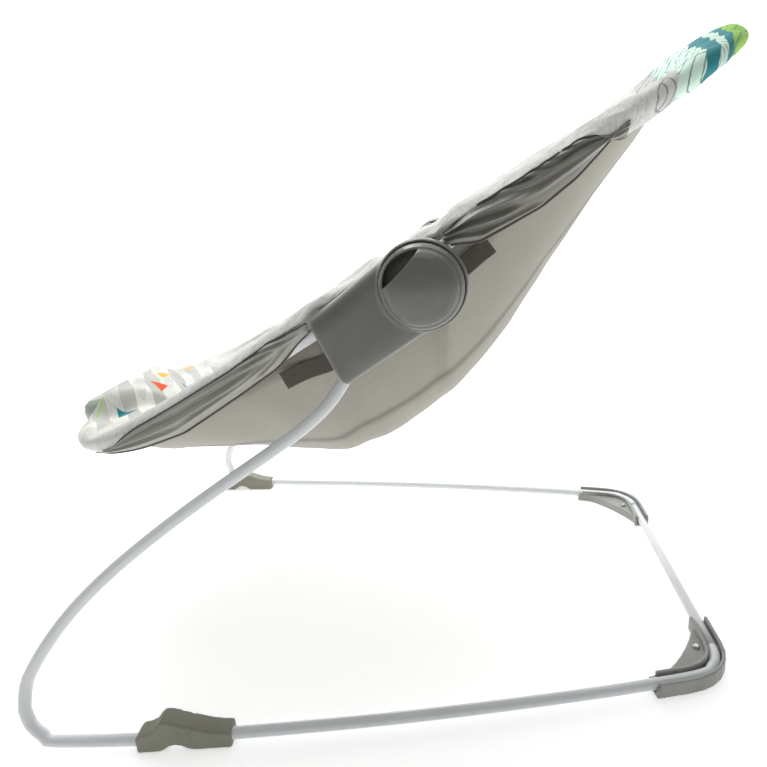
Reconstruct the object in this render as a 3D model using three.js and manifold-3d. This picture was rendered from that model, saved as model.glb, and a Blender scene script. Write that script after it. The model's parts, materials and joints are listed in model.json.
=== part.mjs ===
// Infant bouncer seat on a bent steel tube frame. Millimetres, +Z up, the floor at z = 0.
// +X points to the head end, -Y to the left-hand side of a child lying in the seat.
// The parts are laid out from the front bends of the frame, then moved so that the
// origin is on the floor in the middle of the object.
import * as THREE from 'three';
import { mergeVertices } from 'three/addons/utils/BufferGeometryUtils.js';
import Module from 'manifold-3d';

const wasm = await Module();
wasm.setup();

// ---- driving dimensions -------------------------------------------------------------
const CENTRE_X = 260; // middle of the whole object, from the front bends
const GAP = 0.3; // between solids that touch

// base frame
const TUBE_R = 5; // outside radius of the frame tube
const TUBE_WALL = 1.2;
const TUBE_Z = 8; // height of the rails' centreline
const FRONT_HALF = 243; // half width of the base at the front
const REAR_HALF = 171; // half width of the base at the rear
const BASE_LENGTH = 561;
const RAIL_BOW = 11; // how far a rail bows outwards at its middle
const CORNER = 38; // reach of the rear corner bends
const CROSSBAR_HALF = 138; // half length of the rear crossbar, with its joint gaps
const JOINT_GAP = 1;
const BEND = { x: -33, z: 39 }; // foremost point of the front bend, where the frame flexes
const LEAN = 0.24; // inward lean of the uprights
const FLEX_GAP = 2.2; // slit in the front bend that lets the seat rock

// rubber foot: its side profile from the front pad to the heel
const FOOT = {
  length: 77,
  width: 17,
  profile: [
    [0, 0], [18, 0], [24, 2.2], [36, 2.2], [42, 0], [77, 0], [77, 15], [60, 17],
    [38, 24], [22, 27], [14, 18], [0, 15],
  ],
  hole: { x: 40, z: 19, r: 1.6 },
};

// seat
const LOOP_HALF = 150; // half width of the seat loops
const FOOT_ARC = { x: 60, reach: 104 }; // round end of the front loop
const HEAD_ARC = { x: 458, reach: 108 }; // round end of the back loop
const FOOT_SLEEVE_R = 13; // outside radius of the padded fabric round the front loop
const HEAD_SLEEVE_R = 14; // and round the back loop
const SLEEVE_BORE = TUBE_R + 1.6; // inside radius of that fabric
const LINER_REACH = 0.96; // share of the head arc's reach that the hanging seat fills

// hubs
const HUB = { x: 306, z: 366, tilt: THREE.MathUtils.degToRad(33), mid: 174, depth: 22 };
const DISC_R = 30.5;

// vibration unit
const VIB = { x: -31, z: 221, tilt: THREE.MathUtils.degToRad(12), half: 50, deep: 28, tall: 21 };

// Height of the loop tubes at stations along the seat.
const LOOP_PROFILE = [
  [-62, 216], [-20, 224], [40, 237.5], [80, 255], [141, 283], [214, 325],
  [318, 389], [364, 421], [450, 473], [520, 515], [576, 552],
];
// Height of the underside of the hanging seat at the same kind of stations.
const BELLY_PROFILE = [
  [-60, 194], [-20, 186], [40, 178], [105, 174], [195, 175], [240, 183], [285, 207],
  [330, 245], [372, 294], [412, 356], [451, 416], [487, 464], [530, 504], [576, 536],
];
// An upright seen from the side, from above its slit to its end inside the hub.
const UPRIGHT_PROFILE = [
  [-31, 56], [-22.5, 73], [5, 109], [42, 144], [88.5, 179], [124, 203],
  [176, 236], [204, 254], [224, 270], [239, 289], [251, 309],
];

// ---- materials ----------------------------------------------------------------------
const finish = (color, roughness, metalness = 0) =>
  new THREE.MeshStandardMaterial({ color, roughness, metalness });
const whiteCoat = finish(0xe6e7e4, 0.35, 0.1);
const greyPlastic = finish(0x9a9f99, 0.45);
const footRubber = finish(0x82826f, 0.8);
const satin = finish(0x9b9b97, 0.6);
const whiteFabric = finish(0xdedcd6, 0.9);
const meshFabric = finish(0xa9a497, 0.95);
const webbing = finish(0x5a564d, 0.9);
const buckleGrey = finish(0x8b908c, 0.4);
const steel = finish(0xb9bcbe, 0.3, 1);
const cellWrap = finish(0x3c4a44, 0.4, 0.2);
const darkPlastic = finish(0x4a4d4a, 0.5);

// ---- helpers ------------------------------------------------------------------------
const seat = new THREE.Group();
seat.position.x = -CENTRE_X;

function part(name, geometry, material) {
  const mesh = new THREE.Mesh(geometry, material);
  mesh.name = name;
  seat.add(mesh);
}

// A left-hand part and its mirror image on the right.
function pair(name, geometry, material) {
  part(`left_${name}`, geometry, material);
  part(`right_${name}`, mirrored(geometry), material);
}

function mirrored(geometry) {
  const copy = positionsOnly(geometry);
  copy.scale(1, -1, 1);
  copy.index.array.reverse();
  return copy;
}

function positionsOnly(geometry) {
  const copy = geometry.clone();
  copy.deleteAttribute('normal');
  copy.deleteAttribute('uv');
  return mergeVertices(copy, 1e-4);
}

function toSolid(geometry) {
  const merged = positionsOnly(geometry);
  const mesh = new wasm.Mesh({
    numProp: 3,
    vertProperties: new Float32Array(merged.attributes.position.array),
    triVerts: new Uint32Array(merged.index.array),
  });
  return new wasm.Manifold(mesh);
}

function toGeometry(solid) {
  const mesh = solid.getMesh();
  const geometry = new THREE.BufferGeometry();
  geometry.setAttribute('position', new THREE.BufferAttribute(mesh.vertProperties, 3));
  geometry.setIndex(new THREE.BufferAttribute(mesh.triVerts, 1));
  return geometry;
}

function cut(body, ...tools) {
  return toGeometry(tools.reduce((left, tool) => left.subtract(toSolid(tool)), toSolid(body)));
}

function join(first, ...others) {
  return toGeometry(others.reduce((whole, other) => whole.add(toSolid(other)), toSolid(first)));
}

// Smooth curve through stations [x, value], read at x.
function along(stations, x) {
  const last = stations.length - 1;
  const at = (i) => stations[Math.min(Math.max(i, 0), last)];
  let i = 0;
  while (i < last - 1 && x > stations[i + 1][0]) i += 1;
  const [x0, y0] = at(i);
  const [x1, y1] = at(i + 1);
  const slope = (a, b) => (b[1] - a[1]) / (b[0] - a[0]);
  const m0 = slope(at(i - 1), at(i + 1));
  const m1 = slope(at(i), at(i + 2));
  const t = Math.min(Math.max((x - x0) / (x1 - x0), 0), 1);
  const run = x1 - x0;
  const start = (2 * t ** 3 - 3 * t ** 2 + 1) * y0 + (t ** 3 - 2 * t ** 2 + t) * run * m0;
  return start + (3 * t ** 2 - 2 * t ** 3) * y1 + (t ** 3 - t ** 2) * run * m1;
}

// A smooth path that a sweep samples evenly between its points, so that close points
// in a bend give short steps there and the straights stay long.
class StationCurve extends THREE.CatmullRomCurve3 {
  getSpacedPoints(divisions) {
    return this.getPoints(divisions);
  }

  getPointAt(t, target) {
    return this.getPoint(t, target);
  }

  getTangentAt(t, target) {
    return this.getTangent(t, target);
  }
}

const curve = (points) => new StationCurve(points, false, 'centripetal');

function circle(radius, sides) {
  const shape = new THREE.Shape();
  for (let i = 0; i < sides; i += 1) {
    const a = (2 * Math.PI * i) / sides;
    shape[i ? 'lineTo' : 'moveTo'](radius * Math.cos(a), radius * Math.sin(a));
  }
  return shape;
}

// A round bar or pipe along a path, with so many steps between two of its points.
function swept(path, outer, inner, between = 1, sides = 9) {
  const section = circle(outer, sides);
  if (inner) section.holes.push(new THREE.Path(circle(inner, sides - 3).getPoints()));
  const steps = (path.points.length - 1) * between;
  return new THREE.ExtrudeGeometry(section, { extrudePath: path, steps });
}

const pipe = (path, between) => swept(path, TUBE_R, TUBE_R - TUBE_WALL, between);

// A straight round bar between two points.
function rod(from, to, radius, sides = 14) {
  const axis = new THREE.Vector3().subVectors(to, from);
  const bar = new THREE.CylinderGeometry(radius, radius, axis.length(), sides);
  const turn = new THREE.Quaternion().setFromUnitVectors(
    new THREE.Vector3(0, 1, 0),
    axis.clone().normalize(),
  );
  bar.applyQuaternion(turn);
  return bar.translate(...from.clone().add(to).multiplyScalar(0.5).toArray());
}

const point = (x, y, z) => new THREE.Vector3(x, y, z);

function block(x0, x1, y0, y1, z0, z1) {
  const box = new THREE.BoxGeometry(x1 - x0, y1 - y0, z1 - z0);
  return box.translate((x0 + x1) / 2, (y0 + y1) / 2, (z0 + z1) / 2);
}

// A flat outline pushed up between two heights.
function plate(outline, z0, z1) {
  const solid = new THREE.ExtrudeGeometry(new THREE.Shape(outline), {
    depth: z1 - z0,
    bevelEnabled: false,
  });
  return solid.translate(0, 0, z0);
}

// A convex outline with its corners rounded: corners are [x, y, radius].
function rounded(corners, steps = 4) {
  const points = [];
  corners.forEach(([x, y, r], i) => {
    const here = new THREE.Vector2(x, y);
    const [px, py] = corners[(i + corners.length - 1) % corners.length];
    const [nx, ny] = corners[(i + 1) % corners.length];
    const back = new THREE.Vector2(px, py).sub(here).normalize();
    const ahead = new THREE.Vector2(nx, ny).sub(here).normalize();
    const half = Math.acos(back.dot(ahead)) / 2;
    const centre = here.clone().addScaledVector(back.clone().add(ahead).normalize(), r / Math.sin(half));
    const start = here.clone().addScaledVector(back, r / Math.tan(half)).sub(centre);
    const turn = Math.PI - 2 * half;
    for (let k = 0; k <= steps; k += 1) {
      points.push(start.clone().rotateAround(new THREE.Vector2(), (turn * k) / steps).add(centre));
    }
  });
  return points;
}

// The outline moved inwards by a distance.
function inset(outline, distance) {
  return outline.map((p, i) => {
    const before = outline[(i + outline.length - 1) % outline.length];
    const after = outline[(i + 1) % outline.length];
    const edge = after.clone().sub(before).normalize();
    return new THREE.Vector2(p.x - edge.y * distance, p.y + edge.x * distance);
  });
}

// A closed body of rings, each the outline moved in by [inset] at [height].
function stacked(outline, layers) {
  const n = outline.length;
  const rings = layers.map(([distance, z]) => inset(outline, distance).map((p) => [p.x, p.y, z]));
  const ends = [layers[0][1], layers.at(-1)[1]];
  const middle = outline.reduce((sum, p) => sum.add(p), new THREE.Vector2()).divideScalar(n);
  const positions = [...rings.flat(), ...ends.map((z) => [middle.x, middle.y, z])].flat();
  const faces = [];
  for (let k = 0; k < layers.length - 1; k += 1) {
    for (let i = 0; i < n; i += 1) {
      const a = k * n + i;
      const b = k * n + ((i + 1) % n);
      faces.push(a, b, b + n, a, b + n, a + n);
    }
  }
  const bottom = rings.length * n;
  const top = (rings.length - 1) * n;
  for (let i = 0; i < n; i += 1) {
    const j = (i + 1) % n;
    faces.push(bottom, j, i, bottom + 1, top + i, top + j);
  }
  const geometry = new THREE.BufferGeometry();
  geometry.setAttribute('position', new THREE.Float32BufferAttribute(positions, 3));
  geometry.setIndex(faces);
  return geometry;
}

// A closed slab between two surfaces that are functions of (u, v) from 0 to 1.
function slab(nu, nv, upper, lower) {
  const positions = [];
  for (const surface of [upper, lower]) {
    for (let i = 0; i <= nu; i += 1) {
      for (let j = 0; j <= nv; j += 1) positions.push(...surface(i / nu, j / nv).toArray());
    }
  }
  const row = nv + 1;
  const half = row * (nu + 1);
  const faces = [];
  const quad = (a, b, c, d) => faces.push(a, b, c, a, c, d);
  for (let i = 0; i < nu; i += 1) {
    for (let j = 0; j < nv; j += 1) {
      const a = i * row + j;
      quad(a, a + row, a + row + 1, a + 1);
      quad(half + a, half + a + 1, half + a + row + 1, half + a + row);
    }
    const left = i * row;
    const right = left + nv;
    quad(left, half + left, half + left + row, left + row);
    quad(right, right + row, half + right + row, half + right);
  }
  for (let j = 0; j < nv; j += 1) {
    const end = nu * row + j;
    quad(j, j + 1, half + j + 1, half + j);
    quad(end, half + end, half + end + 1, end + 1);
  }
  const geometry = new THREE.BufferGeometry();
  geometry.setAttribute('position', new THREE.Float32BufferAttribute(positions, 3));
  geometry.setIndex(faces);
  return geometry;
}

// ---- base frame ---------------------------------------------------------------------
function railSide(x) {
  const t = x / BASE_LENGTH;
  return FRONT_HALF + (REAR_HALF - FRONT_HALF) * t + 4 * RAIL_BOW * t * (1 - t);
}

// Centreline of the left rail in plan, from x to the rear corner and round it.
function railPlan(from) {
  const turnIn = BASE_LENGTH - CORNER;
  const points = [];
  for (let i = 0; i <= 6; i += 1) {
    const x = from + ((turnIn - from) * i) / 6;
    points.push(new THREE.Vector2(x, -railSide(x)));
  }
  const start = points.at(-1);
  const corner = new THREE.Vector2(BASE_LENGTH, -REAR_HALF);
  const end = new THREE.Vector2(BASE_LENGTH, -CROSSBAR_HALF);
  const bend = new THREE.QuadraticBezierCurve(start, corner, end);
  return [...points, ...bend.getPoints(6).slice(1)];
}

function leftRailPath() {
  const front = [];
  const rise = BEND.z - FLEX_GAP / 2 - TUBE_Z;
  for (let i = 0; i < 5; i += 1) {
    const a = (Math.PI / 2) * (i / 5);
    const up = rise * (1 - Math.sin(a));
    front.push(point(BEND.x * Math.cos(a), -FRONT_HALF + LEAN * up, TUBE_Z + up));
  }
  const plan = railPlan(0).map((p) => point(p.x, p.y, TUBE_Z));
  return curve([...front, ...plan]);
}

// Strip along a plan path between two offsets from it, positive on the outside.
function strip(path, inner, outer) {
  const side = (offset) =>
    path.map((p, i) => {
      const before = path[Math.max(i - 1, 0)];
      const after = path[Math.min(i + 1, path.length - 1)];
      const run = after.clone().sub(before).normalize();
      return new THREE.Vector2(p.x + run.y * offset, p.y - run.x * offset);
    });
  return [...side(outer), ...side(inner).reverse()];
}

// Corner bracket: an open channel round the bend with a flat web inside it.
function cornerBracket() {
  const front = 493;
  const path = railPlan(front);
  const arm = new THREE.Vector2(BASE_LENGTH, -101);
  const run = [...path, arm];
  const web = { top: 9.5, reach: 40 };
  const wall = { top: 14.5, inner: TUBE_R + 0.6, outer: TUBE_R + 4 };
  const outside = plate(strip(run, -wall.outer, wall.outer), 0, wall.top);
  const heel = new THREE.Vector2(front + 8, -railSide(front + 8) + 6);
  const toe = new THREE.Vector2(BASE_LENGTH - 6, -104);
  const arc = new THREE.QuadraticBezierCurve(toe, new THREE.Vector2(536, -150), heel);
  const webOutline = [heel, path.at(-4).clone(), toe, ...arc.getPoints(7).slice(1, -1)];
  const whole = join(outside, plate(webOutline, 0, web.top));
  const before = new THREE.Vector2(front - 30, -railSide(front - 30));
  const beyond = new THREE.Vector2(BASE_LENGTH, -60);
  const past = [before, ...path, beyond];
  const channel = plate(strip(past, -wall.inner, wall.inner), TUBE_Z - TUBE_R - GAP, 40);
  const rake = block(front - 5, front + 4, -250, -150, 9, 20);
  return cut(whole, channel, rake);
}

// Rubber foot: a wedge-shaped boot on the rail with two pads and an arch between them.
function frontFoot(x, y, clearance) {
  const { length, width, profile, hole } = FOOT;
  const side = profile.map(([s, z]) => new THREE.Vector2(s, z));
  const body = plate(side, -width / 2, width / 2).rotateX(Math.PI / 2);
  const heading = Math.atan2(railSide(x) - railSide(x + length), length);
  body.rotateZ(y < 0 ? heading : -heading);
  body.translate(x, y, 0);
  const across = [-30, 30].map((reach) => point(x + hole.x, y + reach, hole.z));
  return cut(body, clearance, rod(...across, hole.r, 8));
}

function base() {
  const railPath = leftRailPath();
  pair('base_rail', pipe(railPath), whiteCoat);
  const crossbarEnds = [-1, 1].map((s) => point(BASE_LENGTH, s * (CROSSBAR_HALF - JOINT_GAP), TUBE_Z));
  part('rear_crossbar', pipe(curve(crossbarEnds)), whiteCoat);
  const plugEnds = [20, -3].map((back) => point(BASE_LENGTH, back - CROSSBAR_HALF, TUBE_Z));
  pair('crossbar_plug', rod(...plugEnds, 2.6, 10), steel);
  pair('corner_bracket', cornerBracket(), greyPlastic);
  const bore = swept(railPath, TUBE_R + 0.5);
  part('left_front_foot', frontFoot(59, -railSide(59 + 38) + 1, bore), footRubber);
  part('right_front_foot', frontFoot(-47, FRONT_HALF - 2, mirrored(bore)), footRubber);
  pair('bracket_screw', stud(546, -140), steel);
}

// Pan-head screw that holds a bracket to the tube from inside the corner.
function stud(x, y) {
  const seatZ = 9.5 + GAP;
  const profile = [[0, 0], [3.4, 0], [3.4, 0.9], [2.2, 2], [0, 2.2]];
  const lathe = new THREE.LatheGeometry(profile.map(([r, z]) => new THREE.Vector2(r, z)), 12);
  return lathe.rotateX(Math.PI / 2).translate(x, y, seatZ);
}

// ---- uprights and seat loops --------------------------------------------------------
// Centreline of the left upright, with more stations past its end where they are given.
function uprightPath(...more) {
  const stations = [[BEND.x, BEND.z + FLEX_GAP / 2], ...UPRIGHT_PROFILE, ...more];
  return curve(stations.map(([x, z]) => point(x, -FRONT_HALF + LEAN * (z - TUBE_Z), z)));
}

// Half width of a loop, less an inset, at x.
function halfWidth(x, less = 0) {
  for (const [arc, way] of [[FOOT_ARC, -1], [HEAD_ARC, 1]]) {
    const past = (way * (x - arc.x)) / (arc.reach - less);
    if (past > 0) return (LOOP_HALF - less) * Math.sqrt(Math.max(0, 1 - past * past));
  }
  return LOOP_HALF - less;
}

// Centreline of a loop: in from the left hub, round the end and back to the right hub.
function loopPath(arc, way, stations) {
  const left = stations.map(([x, y]) => point(x, -y, along(LOOP_PROFILE, x)));
  const round = [];
  const turns = 16;
  for (let i = 0; i <= turns; i += 1) {
    const a = (Math.PI * i) / turns;
    const x = arc.x + way * arc.reach * Math.sin(a);
    round.push(point(x, -LOOP_HALF * Math.cos(a), along(LOOP_PROFILE, x)));
  }
  const right = left.map((p) => point(p.x, -p.y, p.z)).reverse();
  return curve([...left, ...round, ...right]);
}

const frontLoop = loopPath(FOOT_ARC, -1, [[252, 174], [222, 173], [190, 166], [150, 157], [95, 152]]);
const backLoop = loopPath(HEAD_ARC, 1, [[284, 174], [316, 174], [345, 166], [385, 155], [420, 151]]);

// The stretch of a path whose points pass a test.
const stretch = (path, test) => curve(path.points.filter(test));

function loops() {
  part('front_loop_tube', pipe(frontLoop), whiteCoat);
  part('back_loop_tube', pipe(backLoop), whiteCoat);
  const foot = stretch(frontLoop, (p) => p.y < -VIB.half && p.x < 196);
  pair('foot_sleeve', swept(foot, FOOT_SLEEVE_R, SLEEVE_BORE), satin);
  const head = stretch(backLoop, (p) => p.x > 342);
  part('head_sleeve', swept(head, HEAD_SLEEVE_R, SLEEVE_BORE), satin);
}

// ---- hanging seat -------------------------------------------------------------------
const LINER_INSET = 17.5; // from the loops' centreline to the edge of the hanging seat
const LINER_FROM = VIB.x + VIB.deep + 5;
const LINER_TO = HEAD_ARC.x + LINER_REACH * (HEAD_ARC.reach - LINER_INSET);
const ROWS = 24; // along the hanging seat
const COLUMNS = 12; // across it

// A point of the hanging seat, lifted off its underside by a thickness.
function seatPoint(x, v, lift) {
  const at = (xx, vv) => {
    const belly = along(BELLY_PROFILE, xx);
    const edge = along(LOOP_PROFILE, xx) - 4;
    const z = belly + (edge - belly) * Math.abs(vv) ** 3;
    return point(xx, vv * halfWidth(xx, LINER_INSET), z);
  };
  const step = 0.5;
  const here = at(x, v);
  const lengthways = at(x + step, v).sub(at(x - step, v));
  const across = at(x, v + 0.01).sub(at(x, v - 0.01));
  const normal = lengthways.cross(across).normalize();
  return here.addScaledVector(normal, lift);
}

const rowX = (row) => LINER_FROM + ((LINER_TO - LINER_FROM) * row) / ROWS;

// A layer of the hanging seat between two lifts, over whole rows and columns of one grid,
// so that layers on each other never cross. Columns count from the middle.
function layer([row0, row1], [column0, column1], [low, high]) {
  const surface = (lift) => (u, v) => {
    const column = column0 + (column1 - column0) * v;
    return seatPoint(rowX(row0 + (row1 - row0) * u), column / (COLUMNS / 2), lift);
  };
  return slab(row1 - row0, column1 - column0, surface(high), surface(low));
}

const SLING = [0, 3];
const PAD = [3.6, 13];
const STRAP_ON_PAD = [13.6, 15.6];

function liner() {
  const side = COLUMNS / 2;
  part('sling', layer([0, ROWS], [-side, side], SLING), meshFabric);
  part('seat_pad', layer([0, ROWS], [1 - side, side - 1], PAD), whiteFabric);
}

// Webbing that joins the fabric of the two loops behind each hub.
function sideStrap() {
  const width = 19;
  const [x0, x1] = [197, 341];
  const y = -148;
  const at = (x, up, out) => point(x, y + out, along(LOOP_PROFILE, x) - 9 + width * (up - 0.5));
  return slab(6, 1, (u, v) => at(x0 + (x1 - x0) * u, v, -0.8), (u, v) => at(x0 + (x1 - x0) * u, v, 0.8));
}

// ---- harness ------------------------------------------------------------------------
const BUCKLE = { x: 207, from: 18, length: 26, wide: 26, thick: 9 };

function buckleHeight() {
  return seatPoint(BUCKLE.x, 0.55, STRAP_ON_PAD[0]).z + BUCKLE.thick / 2 + 6;
}

function harness() {
  part('crotch_strap', layer([5, 10], [-1, 1], STRAP_ON_PAD), whiteFabric);
  const { x, from, length, wide, thick } = BUCKLE;
  const z = buckleHeight();
  const [inner, outer] = [-from, -from - length];
  const shell = block(x - wide / 2, x + wide / 2, outer, inner, z - thick / 2, z + thick / 2);
  const mouth = block(x - 10, x + 10, outer - 1, inner - 6, z - 3, z + 3);
  const window = (side) => block(side - 4, side + 4, outer + 6, outer + 18, z - 2, z + 2);
  const windows = [window(x - wide / 2), window(x + wide / 2)];
  pair('buckle_body', cut(shell, mouth, ...windows), buckleGrey);
  const tongue = block(x - 8.5, x + 8.5, outer - 4, inner - 9, z - 2.4, z + 2.4);
  const fork = block(x - 4, x + 4, outer + 3, inner, z - 4, z + 4);
  const bar = block(x - 13, x + 13, outer - 13, outer - GAP, z - 4, z + 4);
  const loop = block(x - 10.5, x + 10.5, outer - 10, outer - 6, z - 6, z + 6);
  pair('buckle_plug', cut(join(bar, tongue), fork, loop), buckleGrey);
  part('left_waist_strap', layer([9, 10], [-5, -4], STRAP_ON_PAD), webbing);
  part('right_waist_strap', layer([9, 10], [4, 5], STRAP_ON_PAD), webbing);
}

// ---- hubs ---------------------------------------------------------------------------
// Hub outline in its own plane: x runs up along the seat, y is square to it.
const HUB_OUTLINE = rounded([[-91, -28, 7], [8, -33, 20], [28, 0, 20], [10, 31.5, 22], [-83, 28.5, 8]], 3);

function hubPlaced(geometry) {
  geometry.rotateX(Math.PI / 2);
  geometry.rotateY(-HUB.tilt);
  return geometry.translate(HUB.x, -HUB.mid, HUB.z);
}

// Toy bar socket: a leaf-shaped slot along the upper edge of the disc.
function socketLeaf(z0, z1) {
  const [a, b] = [new THREE.Vector2(-22.5, 15), new THREE.Vector2(14.5, 23)];
  const outer = new THREE.QuadraticBezierCurve(b, new THREE.Vector2(-10, 35), a);
  const chord = new THREE.QuadraticBezierCurve(a, new THREE.Vector2(-2, 17), b);
  const leaf = [...outer.getPoints(8).slice(0, -1), ...chord.getPoints(4).slice(0, -1)];
  return plate(leaf, z0, z1);
}

function hubs(tubes) {
  const { depth } = HUB;
  const wall = 3;
  const outer = stacked(HUB_OUTLINE, [[0, GAP / 2], [0, depth - 7], [2, depth - 2], [6, depth]]);
  const collarRing = new THREE.CylinderGeometry(DISC_R + 3.5, DISC_R + 4, 9, 30);
  const collar = collarRing.rotateX(Math.PI / 2).translate(0, 0, depth + 1);
  const well = new THREE.CylinderGeometry(DISC_R + GAP, DISC_R + GAP, 30, 30);
  const bowl = well.rotateX(Math.PI / 2).translate(0, 0, depth + 15 - 3);
  const frontHollow = stacked(HUB_OUTLINE, [[wall, -1], [wall, depth - 9], [7, depth - 5]]);
  const front = cut(join(outer, collar), frontHollow, bowl);
  const outerShell = cut(hubPlaced(front), ...tubes);
  pair('hub_outer', outerShell, greyPlastic);
  const inner = stacked(HUB_OUTLINE, [[6, -depth], [2, -depth + 2], [0, -depth + 7], [0, -GAP / 2]]);
  const back = cut(inner, stacked(HUB_OUTLINE, [[7, 4 - depth], [wall, 8 - depth], [wall, 1]]));
  pair('hub_inner', cut(hubPlaced(back), ...tubes), greyPlastic);
  pair('hub_cap', hubPlaced(hubCap(depth)), greyPlastic);
  pair('hub_front_screw', hubPlaced(screwHead(-66, -8, -depth - GAP)), steel);
  pair('hub_rear_screw', hubPlaced(screwHead(-4, 4, -depth - GAP)), steel);
}

// Domed disc that closes the hub and frames the toy bar socket.
function hubCap(depth) {
  const bottom = depth - 3 + GAP;
  const profile = [[0, bottom], [DISC_R, bottom], [DISC_R, depth + 8], [28.5, depth + 12]];
  const dome = [[22, depth + 15.5], [12, depth + 18], [0, depth + 19]];
  const points = [...profile, ...dome].map(([r, z]) => new THREE.Vector2(r, z));
  const lathe = new THREE.LatheGeometry(points, 30).rotateX(Math.PI / 2);
  return cut(lathe, socketLeaf(depth - 10, depth + 40));
}

// Screw head that faces inwards, on the inner face of a shell.
function screwHead(x, y, z) {
  const profile = [[0, -2], [2.4, -1.8], [3.3, -0.8], [3.3, 0], [0, 0]];
  const lathe = new THREE.LatheGeometry(profile.map(([r, h]) => new THREE.Vector2(r, h)), 12);
  return lathe.rotateX(Math.PI / 2).translate(x, y, z);
}

// ---- vibration unit -----------------------------------------------------------------
function vibPlaced(geometry) {
  return geometry.rotateY(-VIB.tilt).translate(VIB.x, 0, VIB.z);
}

const CELL = { x: 2, r: 6.9, from: -25.5, to: 25 };
const MOTOR = { x: 17, r: 5.5 };
const DOOR = { x0: -8, x1: 10, half: 30 };

function vibrationUnit(tube) {
  const { half, deep, tall } = VIB;
  const outline = rounded([[-deep, -half, 15], [deep, -half, 15], [deep, half, 15], [-deep, half, 15]], 4);
  const wall = 2.6;
  const topHollow = stacked(outline, [[wall, -1], [wall, tall - 11], [6.5, tall - 4]]);
  const bottomHollow = stacked(outline, [[6.5, 4 - tall], [wall, 11 - tall], [wall, 1]]);
  const top = stacked(outline, [[0, GAP / 2], [0, tall - 11], [2.5, tall - 4], [8, tall]]);
  const slot = block(10, 16, -11, 11, tall - 6, tall + 5);
  const topShell = cut(top, topHollow, slot);
  part('vibration_unit_cover', cut(vibPlaced(topShell), tube), greyPlastic);
  const bottom = stacked(outline, [[8, -tall], [2.5, -tall + 4], [0, -tall + 11], [0, -GAP / 2]]);
  const { x0, x1, half: doorHalf } = DOOR;
  const hatch = block(x0 - 0.5, x1 + 0.5, -doorHalf - 0.5, doorHalf + 0.5, -tall - 4, -tall + 6);
  const bottomShell = cut(bottom, bottomHollow, hatch);
  part('vibration_unit_base', cut(vibPlaced(bottomShell), tube), greyPlastic);
  part('battery_door', vibPlaced(batteryDoor(tall)), greyPlastic);
  part('battery_door_screw', vibPlaced(screwHead(x1 - 4, 0, -tall - GAP)), steel);
  part('battery', vibPlaced(battery()), cellWrap);
  part('battery_contact_minus', vibPlaced(contact(CELL.from - GAP - 0.8)), steel);
  part('battery_contact_plus', vibPlaced(contact(CELL.to + GAP)), steel);
  part('motor', vibPlaced(rod(point(MOTOR.x, -26, 0), point(MOTOR.x, -2, 0), MOTOR.r)), steel);
  part('eccentric_weight', vibPlaced(eccentric()), steel);
  part('power_switch', vibPlaced(powerSwitch(tall)), darkPlastic);
}

function batteryDoor(tall) {
  const { x0, x1, half } = DOOR;
  return block(x0 + 2, x1, -half, half, -tall, -tall + 2.4);
}

function battery() {
  const { x, r, from, to } = CELL;
  const profile = [[0, from], [r, from], [r, to - 2], [2.6, to - 2], [2.6, to], [0, to]];
  const lathe = new THREE.LatheGeometry(profile.map(([a, b]) => new THREE.Vector2(a, b)), 16);
  return lathe.translate(x, 0, 0);
}

function contact(y) {
  return block(CELL.x - 6, CELL.x + 6, y, y + 0.8, -6, 6);
}

// Half-round weight on the motor's shaft.
function eccentric() {
  const half = new THREE.Shape();
  half.moveTo(-6.5, 0);
  half.absarc(0, 0, 6.5, Math.PI, 2 * Math.PI, false);
  half.lineTo(-6.5, 0);
  const weight = new THREE.ExtrudeGeometry(half, { depth: 7, bevelEnabled: false, curveSegments: 10 });
  weight.rotateX(Math.PI / 2).translate(MOTOR.x, 8, 0);
  const shaft = rod(point(MOTOR.x, -2 + GAP, 0), point(MOTOR.x, 8.5, 0), 1.2, 8);
  return join(weight, shaft);
}

function powerSwitch(tall) {
  const stem = block(10.6, 15.4, -8.5, 2.5, tall - 7, tall + 2);
  const knob = block(9.2, 16.8, -7.5, 1.5, tall + GAP + 0.2, tall + 3.4);
  return join(stem, knob);
}

// ---- assembly -----------------------------------------------------------------------
base();
pair('upright', pipe(uprightPath(), 2), whiteCoat);
loops();
liner();
pair('side_strap', sideStrap(), webbing);
harness();
const bore = (path) => swept(path, TUBE_R + 0.5, 0, 2);
hubs([bore(uprightPath([255, 316])), bore(frontLoop), bore(backLoop)]);
vibrationUnit(bore(frontLoop));

export default seat;
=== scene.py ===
"""Looks of the bouncer seat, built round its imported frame.

Metres. +X is the head end, -Y the left side of a child lying in the seat, +Z is up.
"""
import json
import math

import bmesh
import bpy
import numpy as np
from mathutils import Matrix, Vector, noise


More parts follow.
